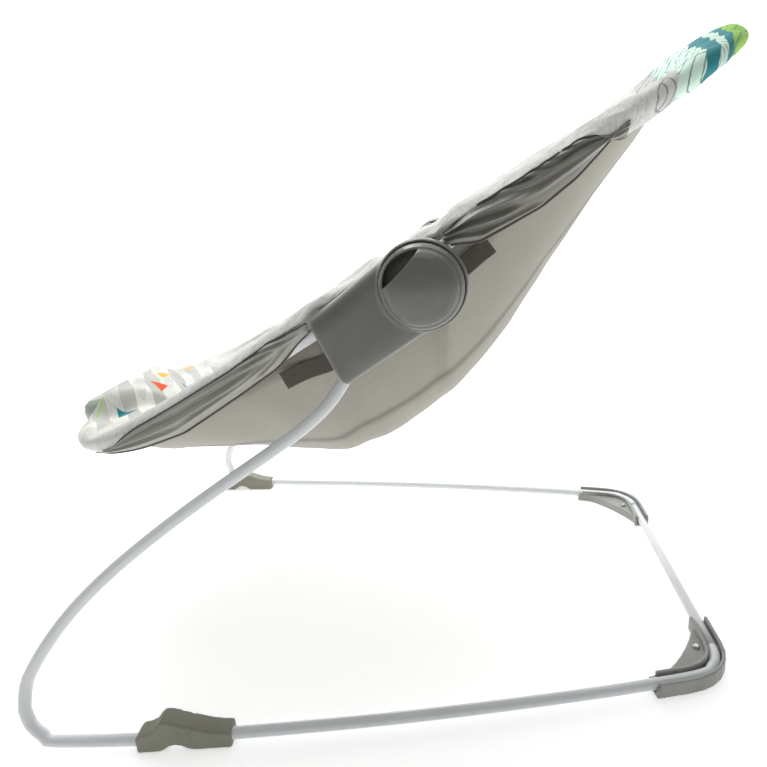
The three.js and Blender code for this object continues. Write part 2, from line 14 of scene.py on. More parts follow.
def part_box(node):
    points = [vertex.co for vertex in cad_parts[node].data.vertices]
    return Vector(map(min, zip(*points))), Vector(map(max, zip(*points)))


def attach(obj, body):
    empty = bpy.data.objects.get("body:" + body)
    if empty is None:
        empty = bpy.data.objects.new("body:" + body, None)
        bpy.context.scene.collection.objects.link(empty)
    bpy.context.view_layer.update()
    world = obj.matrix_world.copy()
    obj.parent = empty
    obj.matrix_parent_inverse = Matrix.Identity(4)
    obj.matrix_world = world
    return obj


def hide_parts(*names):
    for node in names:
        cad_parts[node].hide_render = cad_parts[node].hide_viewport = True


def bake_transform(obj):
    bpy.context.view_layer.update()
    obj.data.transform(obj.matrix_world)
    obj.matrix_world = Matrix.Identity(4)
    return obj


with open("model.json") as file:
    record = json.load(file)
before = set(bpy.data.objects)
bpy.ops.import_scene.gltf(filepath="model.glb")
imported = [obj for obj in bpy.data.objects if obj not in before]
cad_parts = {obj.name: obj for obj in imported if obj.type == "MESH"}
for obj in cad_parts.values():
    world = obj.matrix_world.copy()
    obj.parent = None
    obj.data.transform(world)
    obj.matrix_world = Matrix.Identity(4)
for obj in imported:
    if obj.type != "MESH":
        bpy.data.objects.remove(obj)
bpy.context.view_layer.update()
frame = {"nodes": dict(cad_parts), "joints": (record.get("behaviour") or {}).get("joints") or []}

MM = 0.001
SIDES = (("left", 1), ("right", -1))  # name, and the factor on the left side's Y

# ---- driving dimensions -------------------------------------------------------------
TUBE_R = 5.0 * MM
BENDS_X = frame["joints"][0]["pos_m"][0] + 33 * MM  # front bends of the frame
LOOP_HALF = 150 * MM  # half width of the seat loops
FOOT_REACH, HEAD_REACH = 104 * MM, 108 * MM  # reach of their round ends
FOOT_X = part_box("front_loop_tube")[0].x + TUBE_R  # foremost point of the front loop
HEAD_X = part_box("back_loop_tube")[1].x - TUBE_R
FOOT_C, HEAD_C = FOOT_X + FOOT_REACH, HEAD_X - HEAD_REACH  # centres of the round ends
FOOT_ROLL_R, ROLL_R, HUB_ROLL_R, HEAD_ROLL_R = 11 * MM, 14 * MM, 10 * MM, 13.5 * MM  # round the loops
SLING_INSET = 17.5 * MM  # from the loops' centreline to the edge of the hanging seat
PAD_TOP = 13 * MM  # top of the pad over the underside of the sling
COVER_THICK = 3.6 * MM
HUB_ZONE = (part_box("left_hub_outer")[0].x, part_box("left_hub_outer")[1].x)
HUB_TILT = math.radians(33)


# ---- small tools --------------------------------------------------------------------
def station(x):
    """Place along the seat, from millimetres behind the front bends."""
    return BENDS_X + x * MM


def smoothstep(a, b, x):
    t = np.clip((np.asarray(x, float) - a) / (b - a), 0, 1)
    return t * t * (3 - 2 * t)


def crossing(node, axis, value, keep=None):
    """Middle of the box round the points where a node's edges cross a plane."""
    mesh = frame["nodes"][node].data
    co = np.array([v.co for v in mesh.vertices])
    ends = np.array([e.vertices for e in mesh.edges])
    a, b = co[ends[:, 0]], co[ends[:, 1]]
    da, db = a[:, axis] - value, b[:, axis] - value
    cut = da * db < 0
    a, b, da, db = a[cut], b[cut], da[cut], db[cut]
    points = a + (b - a) * (da / (da - db))[:, None]
    if keep is not None:
        points = points[keep(points)]
    if len(points) < 3:
        return None
    return (points.min(0) + points.max(0)) / 2, points.min(0), points.max(0)


def near_side(points):
    return points[:, 1] < 0


def centres(node, axis, values, keep=None):
    found = [crossing(node, axis, v, keep) for v in values]
    return [f[0] for f in found if f is not None]


def resampled(points, spacing):
    """Catmull-Rom curve through points, cut into equal steps."""
    p = np.array(points, float)
    p = np.vstack([2 * p[0] - p[1], p, 2 * p[-1] - p[-2]])
    dense = []
    for i in range(1, len(p) - 2):
        t = np.linspace(0, 1, 12, endpoint=False)[:, None]
        a, b, c, d = p[i - 1], p[i], p[i + 1], p[i + 2]
        curve = 2 * b + (c - a) * t + (2 * a - 5 * b + 4 * c - d) * t**2
        dense.append((curve + (3 * b - a - 3 * c + d) * t**3) / 2)
    dense = np.vstack([*dense, p[-2]])
    run = np.concatenate([[0], np.cumsum(np.linalg.norm(np.diff(dense, axis=0), axis=1))])
    count = max(2, int(round(run[-1] / spacing)))
    at = np.linspace(0, run[-1], count + 1)
    return np.column_stack([np.interp(at, run, dense[:, k]) for k in range(3)])


def new_object(name, verts, faces, material):
    mesh = bpy.data.meshes.new(name)
    mesh.from_pydata([tuple(v) for v in verts], [], [tuple(int(i) for i in f) for f in faces])
    mesh.validate()
    obj = bpy.data.objects.new(name, mesh)
    bpy.context.scene.collection.objects.link(obj)
    return dressed(obj, material)


def dressed(obj, material):
    obj.data.materials.clear()
    obj.data.materials.append(material)
    for p in obj.data.polygons:
        p.use_smooth = True
    return obj


def outward(obj):
    """Turns all faces outwards."""
    bm = bmesh.new()
    bm.from_mesh(obj.data)
    bmesh.ops.remove_doubles(bm, verts=bm.verts, dist=1e-6)
    bmesh.ops.recalc_face_normals(bm, faces=bm.faces)
    bm.to_mesh(obj.data)
    bm.free()
    return obj


def modified(obj, *steps):
    """Adds modifiers, each (type, settings), and applies them all."""
    for kind, settings in steps:
        modifier = obj.modifiers.new(kind.lower(), kind)
        for key, value in settings.items():
            setattr(modifier, key, value)
    graph = bpy.context.evaluated_depsgraph_get()
    mesh = bpy.data.meshes.new_from_object(obj.evaluated_get(graph))
    obj.modifiers.clear()
    obj.data = mesh
    for p in obj.data.polygons:
        p.use_smooth = True
    return obj


def grid_faces(rows, columns, closed=False):
    faces = []
    for i in range(rows - 1):
        for j in range(columns if closed else columns - 1):
            k = (j + 1) % columns
            faces.append((i * columns + j, i * columns + k, (i + 1) * columns + k, (i + 1) * columns + j))
    return faces


def cloth_map(obj, values):
    """Stores where each vertex lies on the flat cloth, in metres, for the weave and print."""
    attribute = obj.data.attributes.new("cloth", "FLOAT_VECTOR", "POINT")
    attribute.data.foreach_set("vector", np.asarray(values, np.float32).ravel())


def swept(name, points, radius, material, sides):
    """A round bar along points, closed at both ends."""
    p = np.array(points, float)
    tangent = np.gradient(p, axis=0)
    tangent /= np.linalg.norm(tangent, axis=1)[:, None]
    up = np.array([0, 0, 1.0]) if abs(tangent[0][2]) < 0.9 else np.array([0, 1.0, 0])
    verts = []
    for k in range(len(p)):
        side = np.cross(up, tangent[k])
        side /= np.linalg.norm(side)
        up = np.cross(tangent[k], side)
        for s in range(sides):
            a = 2 * math.pi * s / sides
            verts.append(p[k] + radius * (side * math.cos(a) + up * math.sin(a)))
    faces = grid_faces(len(p), sides, closed=True)
    faces.append(tuple(range(sides)))
    faces.append(tuple((len(p) - 1) * sides + s for s in range(sides)))
    return outward(new_object(name, verts, faces, material))


def softened(name, node, voxel, passes, material):
    """A finely meshed copy of a CAD node with its edges rounded, in its place."""
    obj = bpy.data.objects.new(name, frame["nodes"][node].data.copy())
    bpy.context.scene.collection.objects.link(obj)
    modified(
        obj,
        ("REMESH", {"mode": "VOXEL", "voxel_size": voxel}),
        ("SMOOTH", {"factor": 0.5, "iterations": passes}),
    )
    dressed(obj, material)
    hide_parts(node)
    return obj


def noise3(points, scale, seed=0.0):
    shift = Vector((seed, seed * 0.7, seed * 1.3))
    return np.array([noise.noise(Vector(p) * scale + shift) for p in points])


# ---- materials ----------------------------------------------------------------------
class Shader:
    """A Principled material and short ways to add nodes to it."""

    def __init__(self, name, colour, roughness, **sockets):
        self.material = bpy.data.materials.new(name)
        self.material.use_nodes = True
        self.tree = self.material.node_tree
        self.body = self.tree.nodes["Principled BSDF"]
        self.body.inputs["Base Color"].default_value = (*colour, 1)
        self.body.inputs["Roughness"].default_value = roughness
        for key, value in sockets.items():
            self.body.inputs[key.replace("_", " ")].default_value = value

    def node(self, kind, settings=None, **inputs):
        made = self.tree.nodes.new(kind)
        for key, value in (settings or {}).items():
            setattr(made, key, value)
        for key, value in inputs.items():
            socket = made.inputs[int(key[1:])] if key[1:].isdigit() else made.inputs[key.replace("_", " ")]
            self.put(socket, value)
        return made

    def put(self, socket, value):
        if isinstance(value, bpy.types.NodeSocket):
            self.tree.links.new(value, socket)
        elif isinstance(value, tuple) and len(value) == 3 and len(socket.default_value) == 4:
            socket.default_value = (*value, 1)
        else:
            socket.default_value = value

    def place(self):
        return self.node("ShaderNodeTexCoord").outputs["Object"]

    def cloth(self):
        return self.node("ShaderNodeAttribute", {"attribute_name": "cloth"}).outputs["Vector"]

    def noise(self, where, scale, detail=3.0, rough=0.5):
        sockets = {"Vector": where, "Scale": scale, "Detail": detail, "Roughness": rough}
        return self.node("ShaderNodeTexNoise", None, **sockets).outputs["Fac"]

    def wave(self, where, scale, direction, distortion=0.0):
        made = self.node(
            "ShaderNodeTexWave",
            {"bands_direction": direction},
            Vector=where, Scale=scale, Distortion=distortion,
        )
        return made.outputs["Fac"]

    def math(self, operation, a, b=0.0):
        made = self.node("ShaderNodeMath", {"operation": operation}, _0=a, _1=b)
        return made.outputs[0]

    def dot(self, a, b):
        made = self.node("ShaderNodeVectorMath", {"operation": "DOT_PRODUCT"}, _0=a, _1=b)
        return made.outputs["Value"]

    def steps(self, value, *stops):
        """Maps a value through (position, grey) stops."""
        ramp = self.node("ShaderNodeValToRGB", None, Fac=value)
        points = ramp.color_ramp.elements
        while len(points) < len(stops):
            points.new(0.5)
        for point, (position, colour) in zip(points, stops):
            point.position = position
            shade = colour if isinstance(colour, tuple) else (colour,) * 3
            point.color = (*shade, 1)
        return ramp

    def mix(self, factor, a, b):
        made = self.node("ShaderNodeMix", {"data_type": "RGBA"})
        self.put(made.inputs[0], factor)
        self.put(made.inputs[6], a)
        self.put(made.inputs[7], b)
        return made.outputs[2]

    def colour(self, value):
        self.put(self.body.inputs["Base Color"], value)

    def bump(self, height, strength, distance):
        made = self.node("ShaderNodeBump", None, Strength=strength, Distance=distance, Height=height)
        self.put(self.body.inputs["Normal"], made.outputs["Normal"])


def plastic(name, colour, roughness, grain=900.0, depth=0.06):
    s = Shader(name, colour, roughness)
    where = s.place()
    mottle = s.noise(where, 35.0)
    shade = tuple(c * 0.86 for c in colour)
    s.colour(s.mix(s.steps(mottle, (0.35, 0.0), (0.7, 1.0)).outputs[0], shade, colour))
    fine = s.noise(where, grain, 2.0)
    s.bump(fine, depth, 0.0004)
    rough = s.math("MULTIPLY_ADD", mottle, 0.12)
    rough.node.inputs[2].default_value = roughness - 0.06
    s.put(s.body.inputs["Roughness"], rough)
    return s.material


def powder_coat():
    s = Shader("white_powder_coat", (0.72, 0.74, 0.75), 0.3, Coat_Weight=0.3, Coat_Roughness=0.25)
    where = s.place()
    peel = s.noise(where, 700.0, 2.0)
    s.bump(peel, 0.05, 0.0003)
    dust = s.steps(s.noise(where, 22.0, 5.0), (0.45, 0.0), (0.75, 0.25)).outputs[0]
    s.colour(s.mix(dust, (0.70, 0.72, 0.735), (0.58, 0.59, 0.585)))
    return s.material


def weave(s, where, thread):
    """Height of a plain weave with threads this far apart."""
    scale = 0.31416 / thread / 2
    over = s.wave(where, scale, "X", 0.4)
    under = s.wave(where, scale, "Y", 0.4)
    return s.math("MULTIPLY", over, under)


def satin(name, dark, light):
    s = Shader(name, light, 0.42, Sheen_Weight=0.25, Sheen_Roughness=0.35)
    where = s.cloth()
    stretched = s.node("ShaderNodeMapping", None, Vector=where, Scale=(6.0, 60.0, 1.0)).outputs[0]
    streak = s.noise(stretched, 6.0, 4.0)
    s.colour(s.mix(streak, dark, light))
    s.bump(weave(s, where, 0.0007), 0.12, 0.0003)
    return s.material


def underside():
    s = Shader("sling_weave", (0.42, 0.40, 0.34), 0.9, Sheen_Weight=0.3, Sheen_Roughness=0.6)
    where = s.cloth()
    slub = s.node("ShaderNodeMapping", None, Vector=where, Scale=(8.0, 120.0, 1.0)).outputs[0]
    streak = s.noise(slub, 7.0, 5.0, 0.7)
    cloud = s.noise(where, 14.0)
    base = s.mix(streak, (0.33, 0.315, 0.265), (0.45, 0.43, 0.37))
    base = s.mix(s.steps(cloud, (0.4, 0.0), (0.7, 0.45)).outputs[0], base, (0.37, 0.38, 0.31))
    parts = s.node("ShaderNodeSeparateXYZ", None, Vector=where)
    seam = parts.outputs["Z"]
    s.colour(s.mix(s.steps(seam, (0.0, 0.0), (1.0, 1.0)).outputs[0], base, (0.17, 0.155, 0.13)))
    s.bump(weave(s, where, 0.0007), 0.25, 0.0004)
    return s.material


def webbing(name="webbing", dark=(0.085, 0.075, 0.06), light=(0.17, 0.155, 0.13)):
    s = Shader(name, dark, 0.8, Sheen_Weight=0.3, Sheen_Roughness=0.5)
    where = s.cloth()
    ribs = s.wave(where, 0.31416 / 0.0009 / 2, "X", 0.6)
    yarn = s.wave(where, 0.31416 / 0.0007 / 2, "Y", 0.6)
    height = s.math("MULTIPLY", ribs, yarn)
    s.colour(s.mix(height, dark, light))
    s.bump(height, 0.6, 0.0008)
    return s.material


def half_plane(s, xy, a, b):
    """1 on the left of the line from a to b on the flat cloth."""
    normal = (-(b[1] - a[1]), b[0] - a[0], 0.0)
    reach = normal[0] * a[0] + normal[1] * a[1]
    return s.math("GREATER_THAN", s.dot(xy, normal), reach)


def polygon(s, xy, corners):
    """1 inside a convex polygon whose corners, in mm, run counter-clockwise."""
    points = [(x * MM, y * MM) for x, y in corners]
    inside = None
    for a, b in zip(points, points[1:] + points[:1]):
        side = half_plane(s, xy, a, b)
        inside = side if inside is None else s.math("MULTIPLY", inside, side)
    return inside


CREAM, PALE_GREY = (0.78, 0.79, 0.72), (0.52, 0.53, 0.49)
ORANGE, YELLOW = (0.85, 0.10, 0.02), (0.83, 0.50, 0.06)
TEAL, LIME, MINT = (0.0, 0.22, 0.25), (0.32, 0.62, 0.09), (0.70, 0.90, 0.78)


def printed_top():
    """White heather fabric with a few printed wedges at the foot and bands at the head."""
    s = Shader("white_printed_fabric", (0.8, 0.8, 0.77), 0.85, Sheen_Weight=0.12, Sheen_Roughness=0.5)
    where = s.cloth()
    heather = s.steps(s.noise(where, 420.0, 4.0, 0.75), (0.42, 0.0), (0.62, 1.0)).outputs[0]
    colour = s.mix(heather, (0.60, 0.60, 0.57), (0.76, 0.76, 0.73))
    parts = s.node("ShaderNodeSeparateXYZ", None, Vector=where)
    x = parts.outputs["X"]
    for mask, ink in foot_print(s, where, x):
        colour = s.mix(mask, colour, ink)
    for mask, ink in head_print(s, where, x):
        colour = s.mix(mask, colour, ink)
    s.colour(colour)
    s.bump(weave(s, where, 0.0010), 0.25, 0.0004)
    return s.material


# Printed triangles at the foot end: colour and corners as (station, half width) in mm.
TRIANGLES = [
    (ORANGE, ((0, -13), (15, -8), (15, -22))),
    (TEAL, ((-14, -58), (6, -56), (-4, -74))),
    (YELLOW, ((-10, 18), (8, 17), (6, 5))),
    (YELLOW, ((-8, -92), (1, -87), (4, -100))),
    (TEAL, ((17, 17), (25, 16), (22, 9))),
    (ORANGE, ((48, -30), (64, -24), (60, -44))),
    (YELLOW, ((-14, 96), (0, 104), (-4, 88))),
    (LIME, ((34, 40), (46, 44), (42, 30))),
]


def printed_polygon(s, where, corners):
    """1 inside a printed shape, whichever way round its corners run."""
    a, b, c = corners
    turn = (b[0] - a[0]) * (c[1] - a[1]) - (b[1] - a[1]) * (c[0] - a[0])
    ordered = corners if turn > 0 else corners[::-1]
    return polygon(s, where, [(v + BENDS_X / MM, w) for v, w in ordered])


def band_mask(s, value, low, high):
    return s.math("MULTIPLY", s.math("GREATER_THAN", value, low), s.math("LESS_THAN", value, high))


def slanted(s, where, turn, scale):
    """Distance along a turned line of the flat cloth."""
    direction = (math.cos(turn) * scale, math.sin(turn) * scale, 0.0)
    return s.dot(where, direction)


def foot_print(s, where, x):
    """Wedge-shaped stripes, a lime line and small triangles."""
    y = s.node("ShaderNodeSeparateXYZ", None, Vector=where).outputs["Y"]
    width = s.math("ABSOLUTE", y)
    fade = s.math("LESS_THAN", x, station(96))
    middle = s.math("MAXIMUM", s.math("LESS_THAN", width, 0.100), s.math("LESS_THAN", x, station(4)))
    whole = s.math("MULTIPLY", fade, middle)
    first = s.math("SINE", slanted(s, where, 0.62, 225.0))
    second = s.math("SINE", slanted(s, where, -0.35, 150.0))
    stripe = s.math("GREATER_THAN", s.math("ADD", first, s.math("MULTIPLY", second, 0.2)), 0.1)
    warm = s.math("GREATER_THAN", s.math("ADD", first, s.math("MULTIPLY", second, -0.6)), -0.5)
    near_hem = band_mask(s, x, station(-26.5), station(-25))
    line = s.math("MULTIPLY", near_hem, s.math("LESS_THAN", width, 0.075))
    masks = [
        (s.math("MULTIPLY", whole, warm), CREAM),
        (s.math("MULTIPLY", whole, stripe), PALE_GREY),
        (line, LIME),
    ]
    masks += [(printed_polygon(s, where, corners), ink) for ink, corners in TRIANGLES]
    return masks


def head_print(s, where, x):
    """Bands across the head end: grey hatching, mint leaves, teal and a lime tip."""
    y = s.node("ShaderNodeSeparateXYZ", None, Vector=where).outputs["Y"]
    ragged = s.math("ABSOLUTE", s.math("SUBTRACT", s.math("FRACT", s.math("MULTIPLY", y, 42.0)), 0.5))
    leaning = s.math("SUBTRACT", x, s.math("MULTIPLY", y, 0.2))
    edge = s.math("ADD", leaning, s.math("MULTIPLY", ragged, 0.004))
    hatch = s.math("GREATER_THAN", s.math("SINE", slanted(s, where, 0.9, 1300.0)), 0.78)
    cross = s.math("GREATER_THAN", s.math("SINE", slanted(s, where, -0.7, 620.0)), 0.9)
    vein = s.math("GREATER_THAN", s.math("SINE", slanted(s, where, -0.5, 900.0)), 0.9)
    spine = s.math("GREATER_THAN", s.math("COSINE", s.math("MULTIPLY", y, 270.0)), 0.975)
    lines = s.math("MAXIMUM", vein, spine)
    grey_zone = band_mask(s, edge, station(506), station(520))
    leaf_zone = band_mask(s, edge, station(519), station(541))
    thin_zone = band_mask(s, edge, station(550), station(557))
    tip = s.math("GREATER_THAN", edge, station(562))
    return [
        (grey_zone, (0.63, 0.64, 0.62)),
        (s.math("MULTIPLY", grey_zone, s.math("MAXIMUM", hatch, cross)), (0.30, 0.31, 0.30)),
        (leaf_zone, MINT),
        (s.math("MULTIPLY", leaf_zone, lines), (0.20, 0.34, 0.30)),
        (band_mask(s, edge, station(540), station(551)), TEAL),
        (thin_zone, MINT),
        (s.math("MULTIPLY", thin_zone, hatch), (0.25, 0.42, 0.36)),
        (band_mask(s, edge, station(556), station(563)), TEAL),
        (tip, LIME),
        (s.math("MULTIPLY", tip, vein), (0.12, 0.42, 0.12)),
    ]


# ---- shape of the seat --------------------------------------------------------------
def sampled(node, xs, keep, pick):
    found = [(x, crossing(node, 0, x, keep)) for x in xs]
    return np.array([(x, pick(f)) for x, f in found if f is not None])


def loop_heights():
    """Height of the loops' centreline at stations along X."""
    front_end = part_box("front_loop_tube")[1].x
    back_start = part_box("back_loop_tube")[0].x
    middle = lambda f: f[0][2]
    front_x = np.linspace(FOOT_X + 2 * MM, front_end - 4 * MM, 24)
    back_x = np.linspace(back_start + 4 * MM, HEAD_X - 2 * MM, 24)
    front = sampled("front_loop_tube", front_x, near_side, middle)
    back = sampled("back_loop_tube", back_x, near_side, middle)
    return np.vstack([front, back])


LOOP = loop_heights()
SLING_LOW, SLING_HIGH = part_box("sling")
SLING_X = np.linspace(SLING_LOW.x + 2 * MM, SLING_HIGH.x - 3 * MM, 40)
BELLY = sampled("sling", SLING_X, None, lambda f: f[1][2])
HEM_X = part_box("vibration_unit_cover")[1].x + 5 * MM


def belly(x):
    """Height of the underside of the hanging seat on its middle line."""
    raised = 11 * MM * (1 - smoothstep(station(110), station(225), x))
    return extended(BELLY, x) + raised


def extended(table, x):
    """Value at x, carried on in a straight line past both ends of the table."""
    x = np.asarray(x, float)
    value = np.interp(x, table[:, 0], table[:, 1])
    first = (table[1, 1] - table[0, 1]) / (table[1, 0] - table[0, 0])
    last = (table[-1, 1] - table[-2, 1]) / (table[-1, 0] - table[-2, 0])
    value = np.where(x < table[0, 0], table[0, 1] + first * (x - table[0, 0]), value)
    return np.where(x > table[-1, 0], table[-1, 1] + last * (x - table[-1, 0]), value)


def loop_spread():
    """Half width of the loops at stations along the seat's sides."""
    front_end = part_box("front_loop_tube")[1].x
    back_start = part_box("back_loop_tube")[0].x
    middle = lambda f: -f[0][1]
    front = sampled("front_loop_tube", np.linspace(FOOT_C, front_end - 3 * MM, 16), near_side, middle)
    back = sampled("back_loop_tube", np.linspace(back_start + 3 * MM, HEAD_C, 16), near_side, middle)
    return np.vstack([front, back])


SPREAD = loop_spread()
HUB_PASS = 141 * MM  # half width at which the fabric passes inside the hubs


def at_hub(x):
    """1 between the hubs, where the fabric draws in to pass inside them."""
    return smoothstep(HUB_ZONE[0] - 8 * MM, HUB_ZONE[0] + 14 * MM, x) * (
        1 - smoothstep(HUB_ZONE[1] - 36 * MM, HUB_ZONE[1] - 14 * MM, x))


def edge_ring():
    """Stations round the left half of the seat's edge, from the foot end to the head end.

    Each holds the edge's point in plan, the outward direction there and the inner point
    on the seat's middle line that faces it.
    """
    foot = [(FOOT_C - FOOT_REACH * math.cos(a), -LOOP_HALF * math.sin(a))
            for a in np.linspace(0, math.pi / 2, 34)[:-1]]
    side = [(x, -LOOP_HALF) for x in np.linspace(FOOT_C, HEAD_C, 150)[:-1]]
    head = [(HEAD_C + HEAD_REACH * math.sin(a), -LOOP_HALF * math.cos(a))
            for a in np.linspace(0, math.pi / 2, 34)]
    plan = np.array(foot + side + head)
    along = np.gradient(plan, axis=0)
    along /= np.linalg.norm(along, axis=1)[:, None]
    out = np.column_stack([along[:, 1], -along[:, 0]])
    out[0], out[-1] = (-1, 0), (1, 0)
    inner = np.column_stack([np.clip(plan[:, 0], FOOT_C, HEAD_C), np.zeros(len(plan))])
    straight = (plan[:, 0] >= FOOT_C) & (plan[:, 0] <= HEAD_C)
    half = np.interp(plan[:, 0], SPREAD[:, 0], SPREAD[:, 1])
    pinch = at_hub(plan[:, 0])
    plan[:, 1] = np.where(straight, -(half * (1 - pinch) + HUB_PASS * pinch), plan[:, 1])
    over = 1 - smoothstep(44 * MM, 96 * MM, np.abs(plan[:, 1]))
    hem = np.maximum(plan[:, 0], station(-22))
    plan[:, 0] += over * (plan[:, 0] < FOOT_C) * (hem - plan[:, 0])
    return plan, out, inner


PATH, OUT, INNER = edge_ring()
STEP = np.linalg.norm(np.diff(PATH, axis=0), axis=1)
RUN = np.concatenate([[0], np.cumsum(STEP)])  # distance round the edge
HUB_PINCH = at_hub(PATH[:, 0])
HEAD_SHARE = smoothstep(HEAD_C - 70 * MM, HEAD_C + 60 * MM, PATH[:, 0])
FOOT_SHARE = 1 - smoothstep(FOOT_C - 70 * MM, FOOT_C + 60 * MM, PATH[:, 0])
OVER_UNIT = (1 - smoothstep(50 * MM, 74 * MM, np.abs(PATH[:, 1]))) * (PATH[:, 0] < FOOT_C)
ROLL = ROLL_R + (HEAD_ROLL_R - ROLL_R) * HEAD_SHARE + (FOOT_ROLL_R - ROLL_R) * FOOT_SHARE
ROLL = ROLL + (HUB_ROLL_R - ROLL) * HUB_PINCH + (3 * MM - ROLL) * OVER_UNIT
UNIT_LOW, UNIT_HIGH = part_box("vibration_unit_cover")
UNIT_TOP = sampled("vibration_unit_cover", np.linspace(UNIT_LOW.x + 12 * MM, UNIT_HIGH.x - 12 * MM, 8), None,
                   lambda f: f[2][2])
HEIGHT_OF_LOOP = extended(LOOP, PATH[:, 0])
HEIGHT = HEIGHT_OF_LOOP + OVER_UNIT * (extended(UNIT_TOP, PATH[:, 0]) + 3.4 * MM - HEIGHT_OF_LOOP)
HEIGHT = HEIGHT + 11 * MM * smoothstep(station(40), HUB_ZONE[0] + 4 * MM, PATH[:, 0]) * (
    1 - smoothstep(HUB_ZONE[1] - 66 * MM, HUB_ZONE[1] + 60 * MM, PATH[:, 0]))


def radial(edge, edge_z, floor, rows, inset=0.0):
    """Rows from the seat's middle line out to an edge: (rows, stations, 3).

    The rise to the edge ends an inset before it.
    """
    rho = np.linspace(0, 1, rows)[:, None, None]
    flat = INNER[None] + rho * (edge - INNER)[None]
    reach = np.linalg.norm(edge - INNER, axis=1)
    share = np.clip(rho[..., 0] * reach / np.maximum(reach - inset, 1e-4), 0, 1)
    low = floor(flat[..., 0])
    return np.dstack([flat, low + (edge_z[None] - low) * share**3])


def both_sides(rows):
    """Left half (rows, stations, 3) joined with its mirror image into closed rings."""
    right = rows[:, ::-1][:, 1:-1] * np.array([1, -1, 1])
    return np.concatenate([rows, right], axis=1)


def normals(rows):
    """Unit normals of a grid (rows, stations, 3), on its upper or outer side."""
    down = np.gradient(rows, axis=0)
    along = np.gradient(rows, axis=1)
    n = np.cross(down, along)
    return n / np.maximum(np.linalg.norm(n, axis=2, keepdims=True), 1e-9)


def arc_rows(first, last, count, radius):
    """Rows round the edge roll, from one angle to another: 0 is outwards, 90 is up."""
    share = np.linspace(0, 1, count)[:, None]
    angle = np.radians(first + (last - first) * share)
    reach, rise = radius * np.cos(angle), radius * np.sin(angle)
    flat = PATH[None] + OUT[None] * reach[..., None]
    return np.dstack([flat, HEIGHT[None] + rise])


def sheet_mesh(name, rows, cloth, material, closed=False, flip=True):
    """One skin over a grid (rows, stations, 3), upper side out."""
    count, stations = rows.shape[:2]
    faces = grid_faces(count, stations, closed)
    if flip:
        faces = [f[::-1] for f in faces]
    obj = new_object(name, rows.reshape(-1, 3), faces, material)
    cloth_map(obj, cloth.reshape(-1, 3))
    return obj


def merged(obj):
    """Welds the skin where its stations meet, and drops faces left without area."""
    bm = bmesh.new()
    bm.from_mesh(obj.data)
    bmesh.ops.remove_doubles(bm, verts=bm.verts, dist=1e-5)
    loose = [f for f in bm.faces if f.calc_area() < 1e-12]
    bmesh.ops.delete(bm, geom=loose, context="FACES")
    bm.to_mesh(obj.data)
    bm.free()


def flat_cloth(along, across, rows):
    """Places on the flat cloth of a grid's vertices, from its two measures."""
    shape = rows.shape[:2]
    down = np.broadcast_to(across[:, None], shape)
    return np.dstack([np.broadcast_to(along, shape), down, np.zeros(shape)])


def thickened(obj, thickness, offset=-1.0):
    return modified(obj, ("SOLIDIFY", {"thickness": thickness, "offset": offset, "use_even_offset": False}))


# ---- simulation ---------------------------------------------------------------------
def puffed(obj, pinned, pressure, frames, cap, grow=0.0):
    """Blows a closed piece up as cloth, held at its pinned vertices, and keeps the result."""
    group = obj.vertex_groups.new(name="pin")
    group.add([int(i) for i in np.nonzero(pinned)[0]], 1.0, "REPLACE")
    rest = np.array([v.co for v in obj.data.vertices])
    cloth = obj.modifiers.new("cloth", "CLOTH")
    cloth.settings.quality = 5
    cloth.settings.mass = 0.15
    cloth.settings.tension_stiffness = 12
    cloth.settings.compression_stiffness = 12
    cloth.settings.shear_stiffness = 4
    cloth.settings.bending_stiffness = 0.2
    cloth.settings.shrink_min = -grow
    cloth.settings.use_pressure = True
    cloth.settings.uniform_pressure_force = pressure
    cloth.settings.effector_weights.gravity = 0
    cloth.settings.vertex_group_mass = "pin"
    cloth.collision_settings.use_collision = False
    cloth.point_cache.frame_end = frames
    scene = bpy.context.scene
    for number in range(1, frames + 1):
        scene.frame_set(number)
    graph = bpy.context.evaluated_depsgraph_get()
    moved = np.array([v.co for v in obj.evaluated_get(graph).data.vertices])
    obj.modifiers.clear()
    scene.frame_set(1)
    shift = moved - rest
    length = np.linalg.norm(shift, axis=1, keepdims=True)
    shift *= np.minimum(1, cap / np.maximum(length, 1e-9))
    obj.data.vertices.foreach_set("co", (rest + shift).astype(np.float32).ravel())
    obj.vertex_groups.clear()
    obj.data.update()


# ---- seat cover ---------------------------------------------------------------------
WRAPPED = 1 - smoothstep(station(8), station(64), PATH[:, 0])  # where the top wraps under the edge
HEAD_WRAP = smoothstep(station(418), station(470), PATH[:, 0])
SEAM_ANGLE = 26 - 116 * WRAPPED - 130 * HEAD_WRAP
QUILT_CROSS = (station(131), station(261), station(399))  # stitched lines across the seat
QUILT_SIDE = 0.78  # share of the way out where the side stitching runs


def pad_floor(x):
    """Top of the pad along the seat's middle line: over the vibration unit, then down."""
    low = belly(x) + PAD_TOP
    shelf = extended(UNIT_TOP, np.minimum(x, UNIT_HIGH.x - 20 * MM)) + 7 * MM
    over = 1 - smoothstep(UNIT_HIGH.x - 20 * MM, UNIT_HIGH.x + 66 * MM, x)
    return low + (shelf - low) * over


